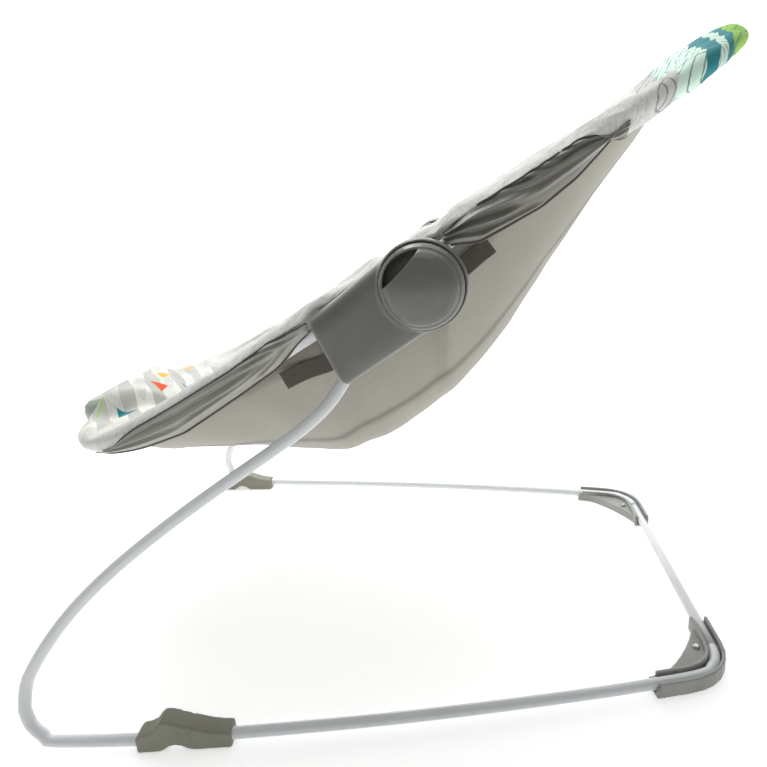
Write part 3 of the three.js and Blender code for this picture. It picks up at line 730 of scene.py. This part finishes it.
def seat_cover(material):
    """The padded white top: the hanging seat and the rolls round the loops, in one piece."""
    inner_rows, roll_rows = 28, 13
    start = 150.0
    edge = PATH + OUT * (ROLL * math.cos(math.radians(start)))[:, None]
    edge_z = HEIGHT + ROLL * math.sin(math.radians(start))
    inset = SLING_INSET + 7 * MM + ROLL * math.cos(math.radians(start))
    inside = radial(edge, edge_z, pad_floor, inner_rows, inset)
    roll = arc_rows(start, SEAM_ANGLE[None], roll_rows, ROLL[None])[1:]
    left = np.concatenate([inside, roll])
    row = np.arange(len(left))
    for _ in range(2):
        left[1:-1] = (left[:-2] + 2 * left[1:-1] + left[2:]) / 4
    stitched = np.zeros(left.shape[:2])
    stitched[int(round(QUILT_SIDE * (inner_rows - 1)))] = 1
    for x in QUILT_CROSS:
        column = int(np.argmin(np.abs(PATH[:, 0] - x)))
        stitched[: int(round(QUILT_SIDE * (inner_rows - 1))), column] = 1
    rows = both_sides(left)
    stitches = np.concatenate([stitched, stitched[:, ::-1][:, 1:-1]], axis=1)
    flat = rows.reshape(-1, 3)
    soft = noise3(flat, 22, 3.0) * 1.6 * MM + noise3(flat, 60, 8.0) * 0.5 * MM
    gather = gathers(rows, row)
    rows = rows - normals(rows) * (soft.reshape(rows.shape[:2]) + gather)[..., None]
    cloth = np.dstack([rows[..., 0], rows[..., 1], stitches])
    obj = sheet_mesh("seat_cover", rows, cloth, material, closed=True)
    merged(obj)
    top_count = len(obj.data.vertices)
    rim = boundary(obj)
    stitch = attribute_z(obj) > 0.5
    thickened(obj, COVER_THICK)
    pinned = np.ones(len(obj.data.vertices), bool)
    pinned[:top_count] = stitch | rim
    puffed(obj, pinned, pressure=3.0, frames=14, cap=7 * MM, grow=0.02)
    modified(obj, ("SUBSURF", {"levels": 1, "render_levels": 1}))
    dressed(obj, material)
    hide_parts("seat_pad", "head_sleeve", "left_foot_sleeve", "right_foot_sleeve")
    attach(obj, "seat")
    return left


def gathers(rows, row):
    """Small puckers along the outer seam of the foot half."""
    last = len(rows) - 1
    near_seam = np.exp(-(((row - last) / 3.5) ** 2))[:, None]
    stations = rows.shape[1]
    ring = np.array([noise.noise(Vector((i * 0.9, 4.2, 0))) for i in range(stations)])
    x = rows[-1, :, 0]
    where = 1 - smoothstep(HUB_ZONE[0] - 60 * MM, HUB_ZONE[0], x)
    return near_seam * (ring * where * 2.6 * MM)[None]


def boundary(obj):
    """True for vertices on an open edge."""
    use = {}
    for polygon_ in obj.data.polygons:
        for key in polygon_.edge_keys:
            use[key] = use.get(key, 0) + 1
    mask = np.zeros(len(obj.data.vertices), bool)
    for (a, b), times in use.items():
        if times == 1:
            mask[a] = mask[b] = True
    return mask


def attribute_z(obj):
    values = np.zeros(len(obj.data.vertices) * 3, np.float32)
    obj.data.attributes["cloth"].data.foreach_get("vector", values)
    return values.reshape(-1, 3)[:, 2]


# ---- gussets and their trims --------------------------------------------------------
FRONT_DROP = [(19, 10), (40, 11), (63, 15), (99, 21), (146, 18), (191, 17), (219, 12)]
REAR_DROP = [(299, 10), (349, 20), (394, 23), (420, 19), (438, 11), (450, 4), (456, 2)]


def drop(x, table):
    """How far a band reaches below the loop, from (station, drop) pairs."""
    stations, drops = zip(*table)
    return np.interp(x, [station(v) for v in stations], [v * MM for v in drops])


def bezier(points, t):
    a, b, c, d = points
    return a * (1 - t) ** 3 + 3 * b * t * (1 - t) ** 2 + 3 * c * t * t * (1 - t) + d * t**3


def gusset_rows(pick, table, tie, folds, rows=30):
    """Grey band from the top seam down past the roll, over the picked stations of the edge."""
    r, seam = ROLL[pick], np.radians(SEAM_ANGLE[pick])
    x = PATH[pick, 0]
    down = drop(x, table)
    gather = tie(x)  # 1 where the band is drawn together beside a hub
    top = np.stack([r * np.cos(seam), r * np.sin(seam) * (1 - 0.8 * gather)])
    bottom = np.stack([r * 0.3 + 0 * x, -down * (1 - 0.45 * gather)])
    shoulder = np.stack([r * 1.22, top[1] * 0.4])
    hip = np.stack([r * 1.15, bottom[1] * 0.75])
    t = np.linspace(0, 1, rows)[:, None, None]
    section = bezier((top[None], shoulder[None], hip[None], bottom[None]), t)
    lift = fold_field(x, np.linspace(0, 1, rows), folds)
    flat = PATH[pick][None] + OUT[pick][None] * (section[:, 0] + lift)[..., None]
    return np.dstack([flat, HEIGHT[pick][None] + section[:, 1] - 0.35 * lift])


def fold_field(x, w, folds):
    """Height of the folds over a band: each runs from (x0, w0) to (x1, w1)."""
    field = np.zeros((len(w), len(x)))
    grid_x, grid_w = np.meshgrid(x, w)
    band = 40 * MM  # width of the band that w measures
    for x0, w0, x1, w1, width, height in folds:
        ax, ay, bx, by = station(x0), w0 * band, station(x1), w1 * band
        length = math.hypot(bx - ax, by - ay)
        ux, uy = (bx - ax) / length, (by - ay) / length
        dx, dy = grid_x - ax, grid_w * band - ay
        along = (dx * ux + dy * uy) / length
        across = dx * uy - dy * ux
        fade = smoothstep(-0.15, 0.2, along) * (1 - smoothstep(0.75, 1.1, along))
        ridge = np.exp(-((across / (width * MM)) ** 2))
        trough = np.exp(-(((across - 1.6 * width * MM) / (1.2 * width * MM)) ** 2))
        field += fade * (ridge - 0.7 * trough) * 1.5 * height * MM
    return field


# Folds of the bands: station and share of the depth at both ends, then width and height.
REAR_FOLDS = [
    (322, 0.10, 388, 0.46, 2.4, 3.1), (321, 0.34, 378, 0.70, 2.1, 2.9), (321, 0.60, 358, 0.84, 1.9, 2.4),
    (326, 0.02, 366, 0.20, 1.8, 2.2), (362, 0.24, 446, 0.52, 3.0, 2.3), (378, 0.52, 464, 0.64, 3.2, 1.9),
    (379, 0.02, 398, 0.28, 1.7, 2.0), (391, 0.02, 408, 0.26, 1.5, 1.8), (401, 0.02, 419, 0.24, 1.6, 1.9),
    (414, 0.02, 430, 0.2, 1.5, 1.6), (361, 0.06, 385, 0.32, 1.9, 2.2), (350, 0.80, 396, 0.92, 1.8, 1.5),
    (428, 0.02, 442, 0.18, 1.4, 1.4), (440, 0.02, 453, 0.2, 1.5, 1.3), (402, 0.34, 470, 0.42, 2.4, 1.5),
]
FRONT_FOLDS = [
    (49, 0.42, 182, 0.56, 2.6, 3.0), (99, 0.7, 190, 0.62, 2.0, 2.0), (129, 0.22, 195, 0.42, 1.9, 2.4),
    (159, 0.1, 201, 0.36, 1.6, 2.4), (171, 0.85, 203, 0.6, 1.4, 1.9), (34, 0.62, 99, 0.75, 2.2, 1.8),
    (177, 0.02, 205, 0.25, 1.4, 2.2), (188, 0.3, 210, 0.48, 1.2, 1.8),
]


def mirrored_rows(rows, side):
    return rows * np.array([1, side, 1.0])


def gussets(front_material, rear_shade_material, shadow_and_binding_trim):
    """The grey bands under the top seam, with a dark tube along both their edges: the binding at the bottom,
    and painted shadow along the top seam. The rear bands get a darker satin as painted shade.
    """
    x = PATH[:, 0]
    front = np.nonzero((x > station(15)) & (x < station(219)) & (PATH[:, 1] < -90 * MM))[0]
    rear = np.nonzero((x > station(320)) & (x < station(456)))[0]
    tie_front = lambda at: smoothstep(station(182), station(219), at)
    tie_rear = lambda at: 1 - smoothstep(station(320), station(350), at)
    front_rows = gusset_rows(front, FRONT_DROP, tie_front, FRONT_FOLDS)
    rear_rows = gusset_rows(rear, REAR_DROP, tie_rear, REAR_FOLDS)
    for name, side in SIDES:
        for place, made, pick, material in (
            ("front", front_rows, front, front_material),
            ("rear", rear_rows, rear, rear_shade_material),
        ):
            rows = mirrored_rows(made, side)
            band(f"{name}_{place}_gusset", rows, RUN[pick], material, side)
            edge_trims(f"{name}_{place}", rows, shadow_and_binding_trim)


def band(name, rows, run, material, side):
    depth = np.concatenate([[0], np.cumsum(np.linalg.norm(np.diff(rows[:, len(run) // 2], axis=0), axis=1))])
    cloth = flat_cloth(run, depth, rows)
    obj = sheet_mesh(name, rows, cloth, material, flip=side > 0)
    thickened(obj, 0.8 * MM)
    modified(obj, ("SUBSURF", {"levels": 1, "render_levels": 1}))
    dressed(obj, material)
    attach(obj, "seat")


def edge_trims(name, rows, material):
    # Row 0 gets a thin dark tube along the top seam that paints the shadow line there; the last row gets the
    # binding.
    for end, label, radius in ((0, "seam_shadow_piping", 0.9 * MM), (-1, "binding", 1.4 * MM)):
        points = resampled(rows[end][::2], 4 * MM)
        piece = swept(f"{name}_{label}", points, radius, material, sides=8)
        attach(piece, "seat")


# ---- sling --------------------------------------------------------------------------
def sling_floor(x):
    return belly(x) + 0.5 * MM


def sling(material):
    """The woven underside that hangs inside the loops."""
    edge = PATH - OUT * (SLING_INSET - 6 * MM * HUB_PINCH[:, None])
    edge[:, 0] = np.maximum(edge[:, 0], HEM_X)
    rows = both_sides(radial(edge, HEIGHT_OF_LOOP - 4 * MM, sling_floor, 36))
    x, y = rows[..., 0], rows[..., 1]
    rho = np.broadcast_to(np.linspace(0, 1, len(rows))[:, None], rows.shape[:2])
    seam = np.exp(-(((rho - 0.62) / 0.018) ** 2)) + 0.8 * smoothstep(0.95, 0.98, rho)
    flat = rows.reshape(-1, 3)
    ripple = (noise3(flat * np.array([1.0, 0.45, 1.0]), 26, 5.0) * 1.8 * MM).reshape(rows.shape[:2])
    inside = smoothstep(0.0, 0.1, rho) * (1 - smoothstep(0.9, 1.0, rho))
    rows = rows + normals(rows) * ((ripple - 0.8 * MM * seam) * inside)[..., None]
    cloth = np.dstack([x, np.sign(y) * rho * 0.17, np.clip(seam, 0, 1)])
    obj = sheet_mesh("sling_cloth", rows, cloth, material, closed=True)
    merged(obj)
    thickened(obj, 0.8 * MM, 1.0)
    modified(obj, ("SUBSURF", {"levels": 1, "render_levels": 1}))
    dressed(obj, material)
    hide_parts("sling")
    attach(obj, "seat")


# ---- tubes --------------------------------------------------------------------------
def mirror_points(points, side):
    return np.array(points) * np.array([1, side, 1.0])


def side_tube_points():
    """Centreline of the left side tube, from the crossbar joint round to the hub."""
    rail, upright = "left_base_rail", "left_upright"
    low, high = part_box(rail)
    corner = centres(rail, 1, np.linspace(high.y - 1.5 * MM, high.y - 26 * MM, 7))
    run = centres(rail, 0, np.linspace(corner[-1][0] - 14 * MM, low.x + 26 * MM, 9))
    bend = centres(rail, 2, np.linspace(14.5 * MM, high.z - 1.5 * MM, 5), lambda p: p[:, 0] < station(49))
    foot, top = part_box(upright)
    rise = centres(upright, 2, np.linspace(foot.z + 2.5 * MM, top.z - 4 * MM, 16))
    return resampled([*corner, *run, *bend, *rise], 7 * MM)


def loop_points(node, way):
    """Centreline of a seat loop, from the left hub round its end to the right hub."""
    low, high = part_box(node)
    hub_end = high.x - 3 * MM if way < 0 else low.x + 3 * MM
    centre = FOOT_C if way < 0 else HEAD_C
    sides = centres(node, 0, np.linspace(hub_end, centre + way * 40 * MM, 14), near_side)
    reach = abs(sides[-1][1]) - 14 * MM
    half = [c for c in centres(node, 1, np.linspace(-reach, -4 * MM, 7))]
    left = [*sides, *half]
    return resampled([*left, *[p * np.array([1, -1, 1]) for p in left[::-1]]], 7 * MM)


def tubes(material, steel):
    side_points = side_tube_points()
    for name, side in SIDES:
        path = mirror_points(side_points, side)
        piece = swept(f"{name}_side_tube", path, TUBE_R, material, 24)
        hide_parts(f"{name}_upright", f"{name}_base_rail")
        low, high = Vector((0, 0, 28 * MM)), Vector((0, 0, 60 * MM))
        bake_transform(piece)
    low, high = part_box("rear_crossbar")
    middle = (low + high) / 2
    ends = [np.array([middle.x, y, middle.z]) for y in np.linspace(low.y, high.y, 9)]
    bar = swept("rear_crossbar_tube", ends, TUBE_R, material, 24)
    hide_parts("rear_crossbar")
    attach(bar, "base")
    for node, way in (("front_loop_tube", -1), ("back_loop_tube", 1)):
        piece = swept(f"{node}_bar", loop_points(node, way), TUBE_R, material, 20)
        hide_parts(node)
        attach(piece, "seat")
    for name, _ in SIDES:
        dress_node(f"{name}_crossbar_plug", steel)


def dress_node(node, material, bevel=None):
    obj = frame["nodes"][node]
    obj.data.materials.clear()
    obj.data.materials.append(material)
    if bevel:
        cut = obj.modifiers.new("bevel", "BEVEL")
        cut.width, cut.segments, cut.limit_method, cut.angle_limit = bevel, 3, "ANGLE", math.radians(40)
        cut.harden_normals = False
        for p in obj.data.polygons:
            p.use_smooth = False


# ---- hubs ---------------------------------------------------------------------------
def hub_point(a, b, depth, side):
    """A point of a hub: a up along the seat, b square to it, depth outwards from the split."""
    low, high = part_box("left_hub_cap")
    centre = (low + high) / 2
    x = centre.x + a * math.cos(HUB_TILT) - b * math.sin(HUB_TILT)
    z = centre.z + a * math.sin(HUB_TILT) + b * math.cos(HUB_TILT)
    return (x, (HUB_Y - depth) * side, z)


HUB_Y = -174 * MM  # where the shells of the left hub meet
HUB_DEPTH = 22 * MM


def hub_body_rings():
    """Rings (a, b, depth) of the crowned body, from its flat front end to round the disc."""
    rings = []
    ease = 3.2 * MM
    for k in range(60):
        a = (-93 + 124 * k / 59) * MM
        low = -30.5 * MM - 1 * MM * smoothstep(-91, 0, a / MM)
        high = 28 * MM + 3.5 * MM * smoothstep(-83, 0, a / MM)
        if a > 0:
            reach = 31.5 * MM
            half = math.sqrt(max(1e-8, reach**2 - a * a))
            low, high = -half, half
        inset = ease - math.sqrt(max(0.0, ease**2 - max(0.0, ease - (a + 93 * MM)) ** 2))
        ring = []
        for q in np.linspace(0, 1, 33):
            spread = -math.cos(math.pi * q)
            b = (low + high) / 2 + spread * ((high - low) / 2 - inset)
            crown = (1 - abs(spread) ** 6) ** (1 / 2.8)
            shift = 8 * MM * (b + 28 * MM) / (56 * MM) * (1 - smoothstep(-91, -30, a / MM))
            ring.append((a + shift, b, 0.2 * MM + crown * (HUB_DEPTH - inset)))
        rings.append(ring)
    return rings


def hub_shells(material):
    for name, side in SIDES:
        rings = hub_body_rings()
        verts = [hub_point(a, b, d, side) for ring in rings for a, b, d in ring]
        columns = len(rings[0])
        faces = grid_faces(len(rings), columns)
        rim = [i * columns for i in range(len(rings))]
        other = [i * columns + columns - 1 for i in range(len(rings))]
        faces += [(rim[i], rim[i + 1], other[i + 1], other[i]) for i in range(len(rings) - 1)]
        faces.append(tuple(range(columns)))
        faces.append(tuple(rim[-1] + j for j in range(columns)))
        body = outward(new_object(f"{name}_hub_shell", verts, faces, material))
        collar = lathe_piece(f"{name}_hub_collar", HUB_COLLAR, side, material)
        joined([body, collar])
        modified(
            body,
            ("REMESH", {"mode": "VOXEL", "voxel_size": 0.9 * MM}),
            ("SMOOTH", {"factor": 0.5, "iterations": 8}),
        )
        dressed(body, material)
        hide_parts(f"{name}_hub_outer")
        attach(body, "seat")
        inner = softened(f"{name}_hub_back", f"{name}_hub_inner", 0.9 * MM, 8, material)
        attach(inner, "seat")
        cap = softened(f"{name}_hub_disc", f"{name}_hub_cap", 0.6 * MM, 10, material)
        domed(cap, side)
        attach(cap, "seat")


def domed(cap, side):
    """Rounds the disc's face into a fuller dome with a soft step near its rim."""
    co = np.array([v.co for v in cap.data.vertices])
    centre = np.array(hub_point(0, 0, 0, side))
    r = np.hypot(co[:, 0] - centre[0], co[:, 2] - centre[2]) / MM
    depth = np.abs(co[:, 1] - centre[1]) / MM
    face = smoothstep(27, 33, depth)
    rise = 5.5 * (1 - np.clip(r / 27, 0, 1) ** 2) - 1.2 * smoothstep(24.5, 27.5, r)
    co[:, 1] += np.sign(co[:, 1]) * rise * face * MM
    cap.data.vertices.foreach_set("co", co.astype(np.float32).ravel())
    cap.data.update()


# Section of the ring round a hub's disc, as (radius, depth) in mm.
HUB_COLLAR = [
    (0, 1), (31.6, 1), (33, 12), (33.4, 19), (33, 22.4), (32.2, 23.8), (31.4, 24.2), (30.7, 23.6),
    (30.4, 19.2), (0, 19.2),
]


def lathe_piece(name, profile, side, material):
    """A turned piece on a hub's axis, from (radius, depth) points in mm."""
    sides = 72
    verts, faces = [], []
    for r, d in profile:
        for s in range(sides):
            a = 2 * math.pi * s / sides
            verts.append(hub_point(r * MM * math.cos(a), r * MM * math.sin(a), d * MM, side))
    faces = grid_faces(len(profile), sides, closed=True)
    return outward(new_object(name, verts, faces, material))


def joined(objects):
    with bpy.context.temp_override(active_object=objects[0], selected_editable_objects=objects):
        bpy.ops.object.join()


# ---- webbing ------------------------------------------------------------------------
def strap(name, points, width, thick, material, up=(0, 0, 1), body="seat"):
    """A flat strap along points; up is the direction of its width."""
    p = resampled(points, 3 * MM)
    tangent = np.gradient(p, axis=0)
    tangent /= np.linalg.norm(tangent, axis=1)[:, None]
    wide = np.array(up, float)[None] - tangent * (tangent @ np.array(up, float))[:, None]
    wide /= np.linalg.norm(wide, axis=1)[:, None]
    run = np.concatenate([[0], np.cumsum(np.linalg.norm(np.diff(p, axis=0), axis=1))])
    across = np.linspace(-0.5, 0.5, 9)
    rows = np.stack([p + wide * (w * width) for w in across])
    cloth = flat_cloth(run, across * width, rows)
    obj = sheet_mesh(name, rows, cloth, material)
    modified(
        obj,
        ("SOLIDIFY", {"thickness": thick, "offset": 0.0}),
        ("BEVEL", {"width": thick * 0.3, "segments": 2}),
    )
    dressed(obj, material)
    if body:
        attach(obj, body)
    return obj


def seat_straps(material):
    """Webbing that ties the ends of the gussets together behind each hub."""
    y = -149 * MM
    front = [(185, 285), (205, 294), (224, 300), (249, 312), (279, 330)]
    rear = [(309, 352), (329, 368), (345, 381), (357, 390)]
    for name, side in SIDES:
        points = [(station(x), y * side, z * MM) for x, z in front + rear]
        piece = strap(f"{name}_tie_strap", points, 15 * MM, 1.6 * MM, material)
        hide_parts(f"{name}_side_strap")


def pad_point(x, y, lift):
    """A point over the pad's top, from the shape of the hanging seat."""
    half = LOOP_HALF - ROLL_R
    low = float(pad_floor(x))
    high = float(extended(LOOP, x)) + ROLL_R / 2
    return Vector((x, y, low + (high - low) * abs(y / half) ** 3 + lift))


def harness(material, pad_material, plastic_material):
    low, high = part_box("crotch_strap")
    points = [pad_point(x, 0, 3.5 * MM) for x in np.linspace(low.x, high.x - 6 * MM, 12)]
    buckle_low, buckle_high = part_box("left_buckle_body")
    middle = (buckle_low.z + buckle_high.z) / 2
    centre = (buckle_low.x + buckle_high.x) / 2
    points += [Vector((buckle_low.x - 2 * MM, 0, middle)), Vector((centre, 0, middle))]
    piece = strap("crotch_webbing", points, 38 * MM, 5 * MM, pad_material, up=(0, 1, 0))
    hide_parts("crotch_strap")
    for name, side in SIDES:
        plug_low, plug_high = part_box(f"{name}_buckle_plug")
        outer = plug_low.y if side > 0 else plug_high.y
        x, z = (plug_low.x + plug_high.x) / 2, (plug_low.z + plug_high.z) / 2
        anchor = -112 * MM * side
        ys = np.linspace(outer + 8 * MM * side, anchor, 12)
        route = [Vector((x, ys[0], z + 1 * MM)), Vector((x, ys[1], z + 1 * MM))]
        route += [pad_point(x, y, 4 * MM) for y in ys[2:]]
        belt = strap(f"{name}_waist_webbing", route, 20 * MM, 1.6 * MM, material, up=(1, 0, 0), body=None)
        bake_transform(belt)
        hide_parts(f"{name}_waist_strap")
        for part in ("buckle_body", "buckle_plug"):
            dress_node(f"{name}_{part}", plastic_material, 1.0 * MM)


# ---- vibration unit -----------------------------------------------------------------
def vibration_unit(shell, dark, steel, cell):
    for node in ("vibration_unit_cover", "vibration_unit_base"):
        piece = softened(f"{node}_shell", node, 0.8 * MM, 6, shell)
        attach(piece, "seat")
    door = softened("battery_door_panel", "battery_door", 0.5 * MM, 2, shell)
    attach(door, "battery_door")
    knob = softened("power_switch_knob", "power_switch", 0.4 * MM, 2, dark)
    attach(knob, "switch")
    contacts = ("battery_contact_minus", "battery_contact_plus")
    for node in (*contacts, "motor", "battery_door_screw", "eccentric_weight"):
        dress_node(node, steel, 0.3 * MM)
    dress_node("battery", cell, 0.4 * MM)


# ---- base ---------------------------------------------------------------------------
# Side view of a rubber foot, from its front pad to its heel, as (run, height) in mm.
FOOT_SIDE = [
    (0, 0), (18, 0), (22, 1.5), (26, 4.5), (31, 5.6), (36, 4.5), (41, 1.5), (46, 0), (77, 0), (77, 14.5),
    (69, 15.2), (60, 17), (50, 20.5), (40, 24), (33, 27), (27, 29), (22.5, 29), (19, 26), (15, 20.5),
    (9, 17.4), (3, 16.4), (0, 13),
]


def rubber_foot(name, material):
    """Soft boot round the rail: two pads, an arch under the tube and a thumb lip on top."""
    rest = frame["nodes"][f"{name}_front_foot"].data
    co = np.array([v.co for v in rest.vertices])
    low, high = co.min(0), co.max(0)
    front = co[co[:, 0] < low[0] + 6 * MM].mean(0)
    back = co[co[:, 0] > high[0] - 6 * MM].mean(0)
    run = (back - front) * np.array([1, 1, 0])
    run /= np.linalg.norm(run)
    side = np.array([-run[1], run[0], 0])
    start = np.array([front[0], front[1], low[2]]) - run * (front[0] - low[0])
    verts, layers = [], 9
    for k in range(layers):
        across = -1 + 2 * k / (layers - 1)
        bulge = 0.6 * MM * (1 - across**2)
        for s, z in FOOT_SIDE:
            place = start + run * (s * MM) + side * (across * 8.7 * MM)
            verts.append(place + np.array([0, 0, max(z * MM + (bulge if z > 12 else 0), 0)]))
    count = len(FOOT_SIDE)
    faces = grid_faces(layers, count, closed=True)
    faces += [tuple(range(count)), tuple((layers - 1) * count + i for i in range(count))]
    foot = outward(new_object(f"{name}_rubber_foot", verts, faces, material))
    rounding = {"width": 1.6 * MM, "segments": 3, "limit_method": "ANGLE", "angle_limit": math.radians(60)}
    modified(
        foot,
        ("BEVEL", rounding),
        ("REMESH", {"mode": "VOXEL", "voxel_size": 0.7 * MM}),
        ("SMOOTH", {"factor": 0.5, "iterations": 4}),
    )
    centre = (start + run * 38 * MM)
    verts = np.array([v.co for v in foot.data.vertices])
    along = (verts - start) @ run
    across = (verts - centre) @ side
    crease = np.exp(-(((along - 44 * MM) / (1.1 * MM)) ** 2))
    crease += 0.7 * np.exp(-(((along - 36 * MM) / (0.9 * MM)) ** 2))
    outer_face = smoothstep(6.5 * MM, 8 * MM, np.abs(across)) * smoothstep(9 * MM, 12 * MM, verts[:, 2])
    verts -= side * (np.sign(across) * crease * outer_face * 0.9 * MM)[:, None]
    foot.data.vertices.foreach_set("co", verts.astype(np.float32).ravel())
    dressed(foot, material)
    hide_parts(f"{name}_front_foot")
    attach(foot, "base")


def base_parts(bracket, rubber, steel):
    for name, _ in SIDES:
        node = f"{name}_corner_bracket"
        corner = softened(f"{name}_corner_moulding", node, 0.7 * MM, 5, bracket)
        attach(corner, "base")
        rubber_foot(name, rubber)
        dress_node(f"{name}_bracket_screw", steel, 0.3 * MM)
        for screw in ("hub_front_screw", "hub_rear_screw"):
            dress_node(f"{name}_{screw}", steel, 0.3 * MM)


# ---- stage --------------------------------------------------------------------------
def stage():
    """White floor that curves up into a white wall, under soft light from above and behind."""
    near, back, bend, top = -4.0, 2.2, 1.4, 4.5
    turn = np.linspace(0, math.pi / 2, 14)[1:]
    profile = [(near, 0.0), (back, 0.0)]
    profile += [(back + bend * math.sin(a), bend - bend * math.cos(a)) for a in turn]
    profile += [(back + bend, top)]
    verts = [(x, y, z) for y, z in profile for x in (-7.0, 7.0)]
    mesh = bpy.data.meshes.new("floor")
    mesh.from_pydata(verts, [], grid_faces(len(profile), 2))
    floor = bpy.data.objects.new("floor", mesh)
    bpy.context.scene.collection.objects.link(floor)
    for p in mesh.polygons:
        p.use_smooth = True
    white = (0.93, 0.93, 0.93, 1)
    paper = Shader("studio_floor", white[:3], 0.95, Emission_Color=white, Emission_Strength=0.5)
    mesh.materials.append(paper.material)
    world = bpy.data.worlds.new("studio")
    bpy.context.scene.world = world
    world.use_nodes = True
    world.node_tree.nodes["Background"].inputs["Color"].default_value = (1, 1, 1, 1)
    world.node_tree.nodes["Background"].inputs["Strength"].default_value = 0.27
    area_light("key", (-0.6, 0.9, 2.3), (0.0, 0.0, 0.3), 0.7, 19)
    area_light("top", (0.1, 0.3, 2.6), (0.0, 0.1, 0.0), 2.4, 24)
    area_light("wall", (0.0, 1.2, 2.6), (0.0, 3.6, 0.9), 3.0, 90)
    bpy.context.scene.view_settings.view_transform = "Standard"


def area_light(name, place, target, size, watts):
    data = bpy.data.lights.new(name, "AREA")
    data.size, data.energy = size, watts
    lamp = bpy.data.objects.new(name, data)
    bpy.context.scene.collection.objects.link(lamp)
    lamp.location = place
    lamp.rotation_euler = (Vector(target) - Vector(place)).to_track_quat("-Z", "Y").to_euler()


def camera():
    """Close to the left side at the height of the seat, looking down a little."""
    data = bpy.data.cameras.new("camera")
    data.sensor_width, data.lens, data.shift_x = 36, 29.3, -0.078
    cam = bpy.data.objects.new("camera", data)
    bpy.context.scene.collection.objects.link(cam)
    yaw, pitch, roll = math.radians(-2.23), math.radians(16.87), math.radians(-2.18)
    forward = Vector((math.sin(yaw) * math.cos(pitch), math.cos(yaw) * math.cos(pitch), -math.sin(pitch)))
    right = Vector((math.cos(yaw), -math.sin(yaw), 0))
    up = right.cross(forward)
    x_axis = right * math.cos(roll) + up * math.sin(roll)
    y_axis = up * math.cos(roll) - right * math.sin(roll)
    cam.matrix_world = Matrix.Translation((station(335.7), -0.6384, 0.4279)) @ Matrix(
        (x_axis, y_axis, -forward)).transposed().to_4x4()
    bpy.context.scene.camera = cam


# ---- assembly -----------------------------------------------------------------------
white = powder_coat()
steel = plastic("zinc_steel", (0.55, 0.55, 0.54), 0.3)
steel.node_tree.nodes["Principled BSDF"].inputs["Metallic"].default_value = 1.0
hub_grey = plastic("hub_grey", (0.15, 0.155, 0.138), 0.32)
bracket_grey = plastic("bracket_grey", (0.33, 0.34, 0.315), 0.45)
housing_grey = plastic("housing_grey", (0.42, 0.46, 0.41), 0.42)
rubber = plastic("olive_rubber", (0.26, 0.26, 0.205), 0.7, 500.0, 0.2)
dark_plastic = plastic("dark_plastic", (0.06, 0.065, 0.06), 0.5)
buckle_grey = plastic("buckle_grey", (0.33, 0.35, 0.34), 0.35)
cell_wrap = plastic("cell_wrap", (0.05, 0.09, 0.07), 0.35)
pale_satin = satin("pale_satin", (0.30, 0.295, 0.265), (0.42, 0.415, 0.375))
# Darker copy of the same satin for the rear bands: painted shade, not a different cloth.
shade_painted_satin = satin("shade_painted_satin", (0.13, 0.125, 0.105), (0.235, 0.23, 0.205))
belt = webbing()
# Dark webbing for the bindings, and for the tubes that paint the shadow along the top seams.
shadow_and_binding_trim = webbing("binding_and_seam_shadow", (0.06, 0.055, 0.045), (0.12, 0.11, 0.09))

seat_cover(printed_top())
gussets(pale_satin, shade_painted_satin, shadow_and_binding_trim)
sling(underside())
tubes(white, steel)
hub_shells(hub_grey)
seat_straps(belt)
harness(belt, pale_satin, buckle_grey)
vibration_unit(housing_grey, dark_plastic, steel, cell_wrap)
base_parts(bracket_grey, rubber, steel)
stage()
camera()
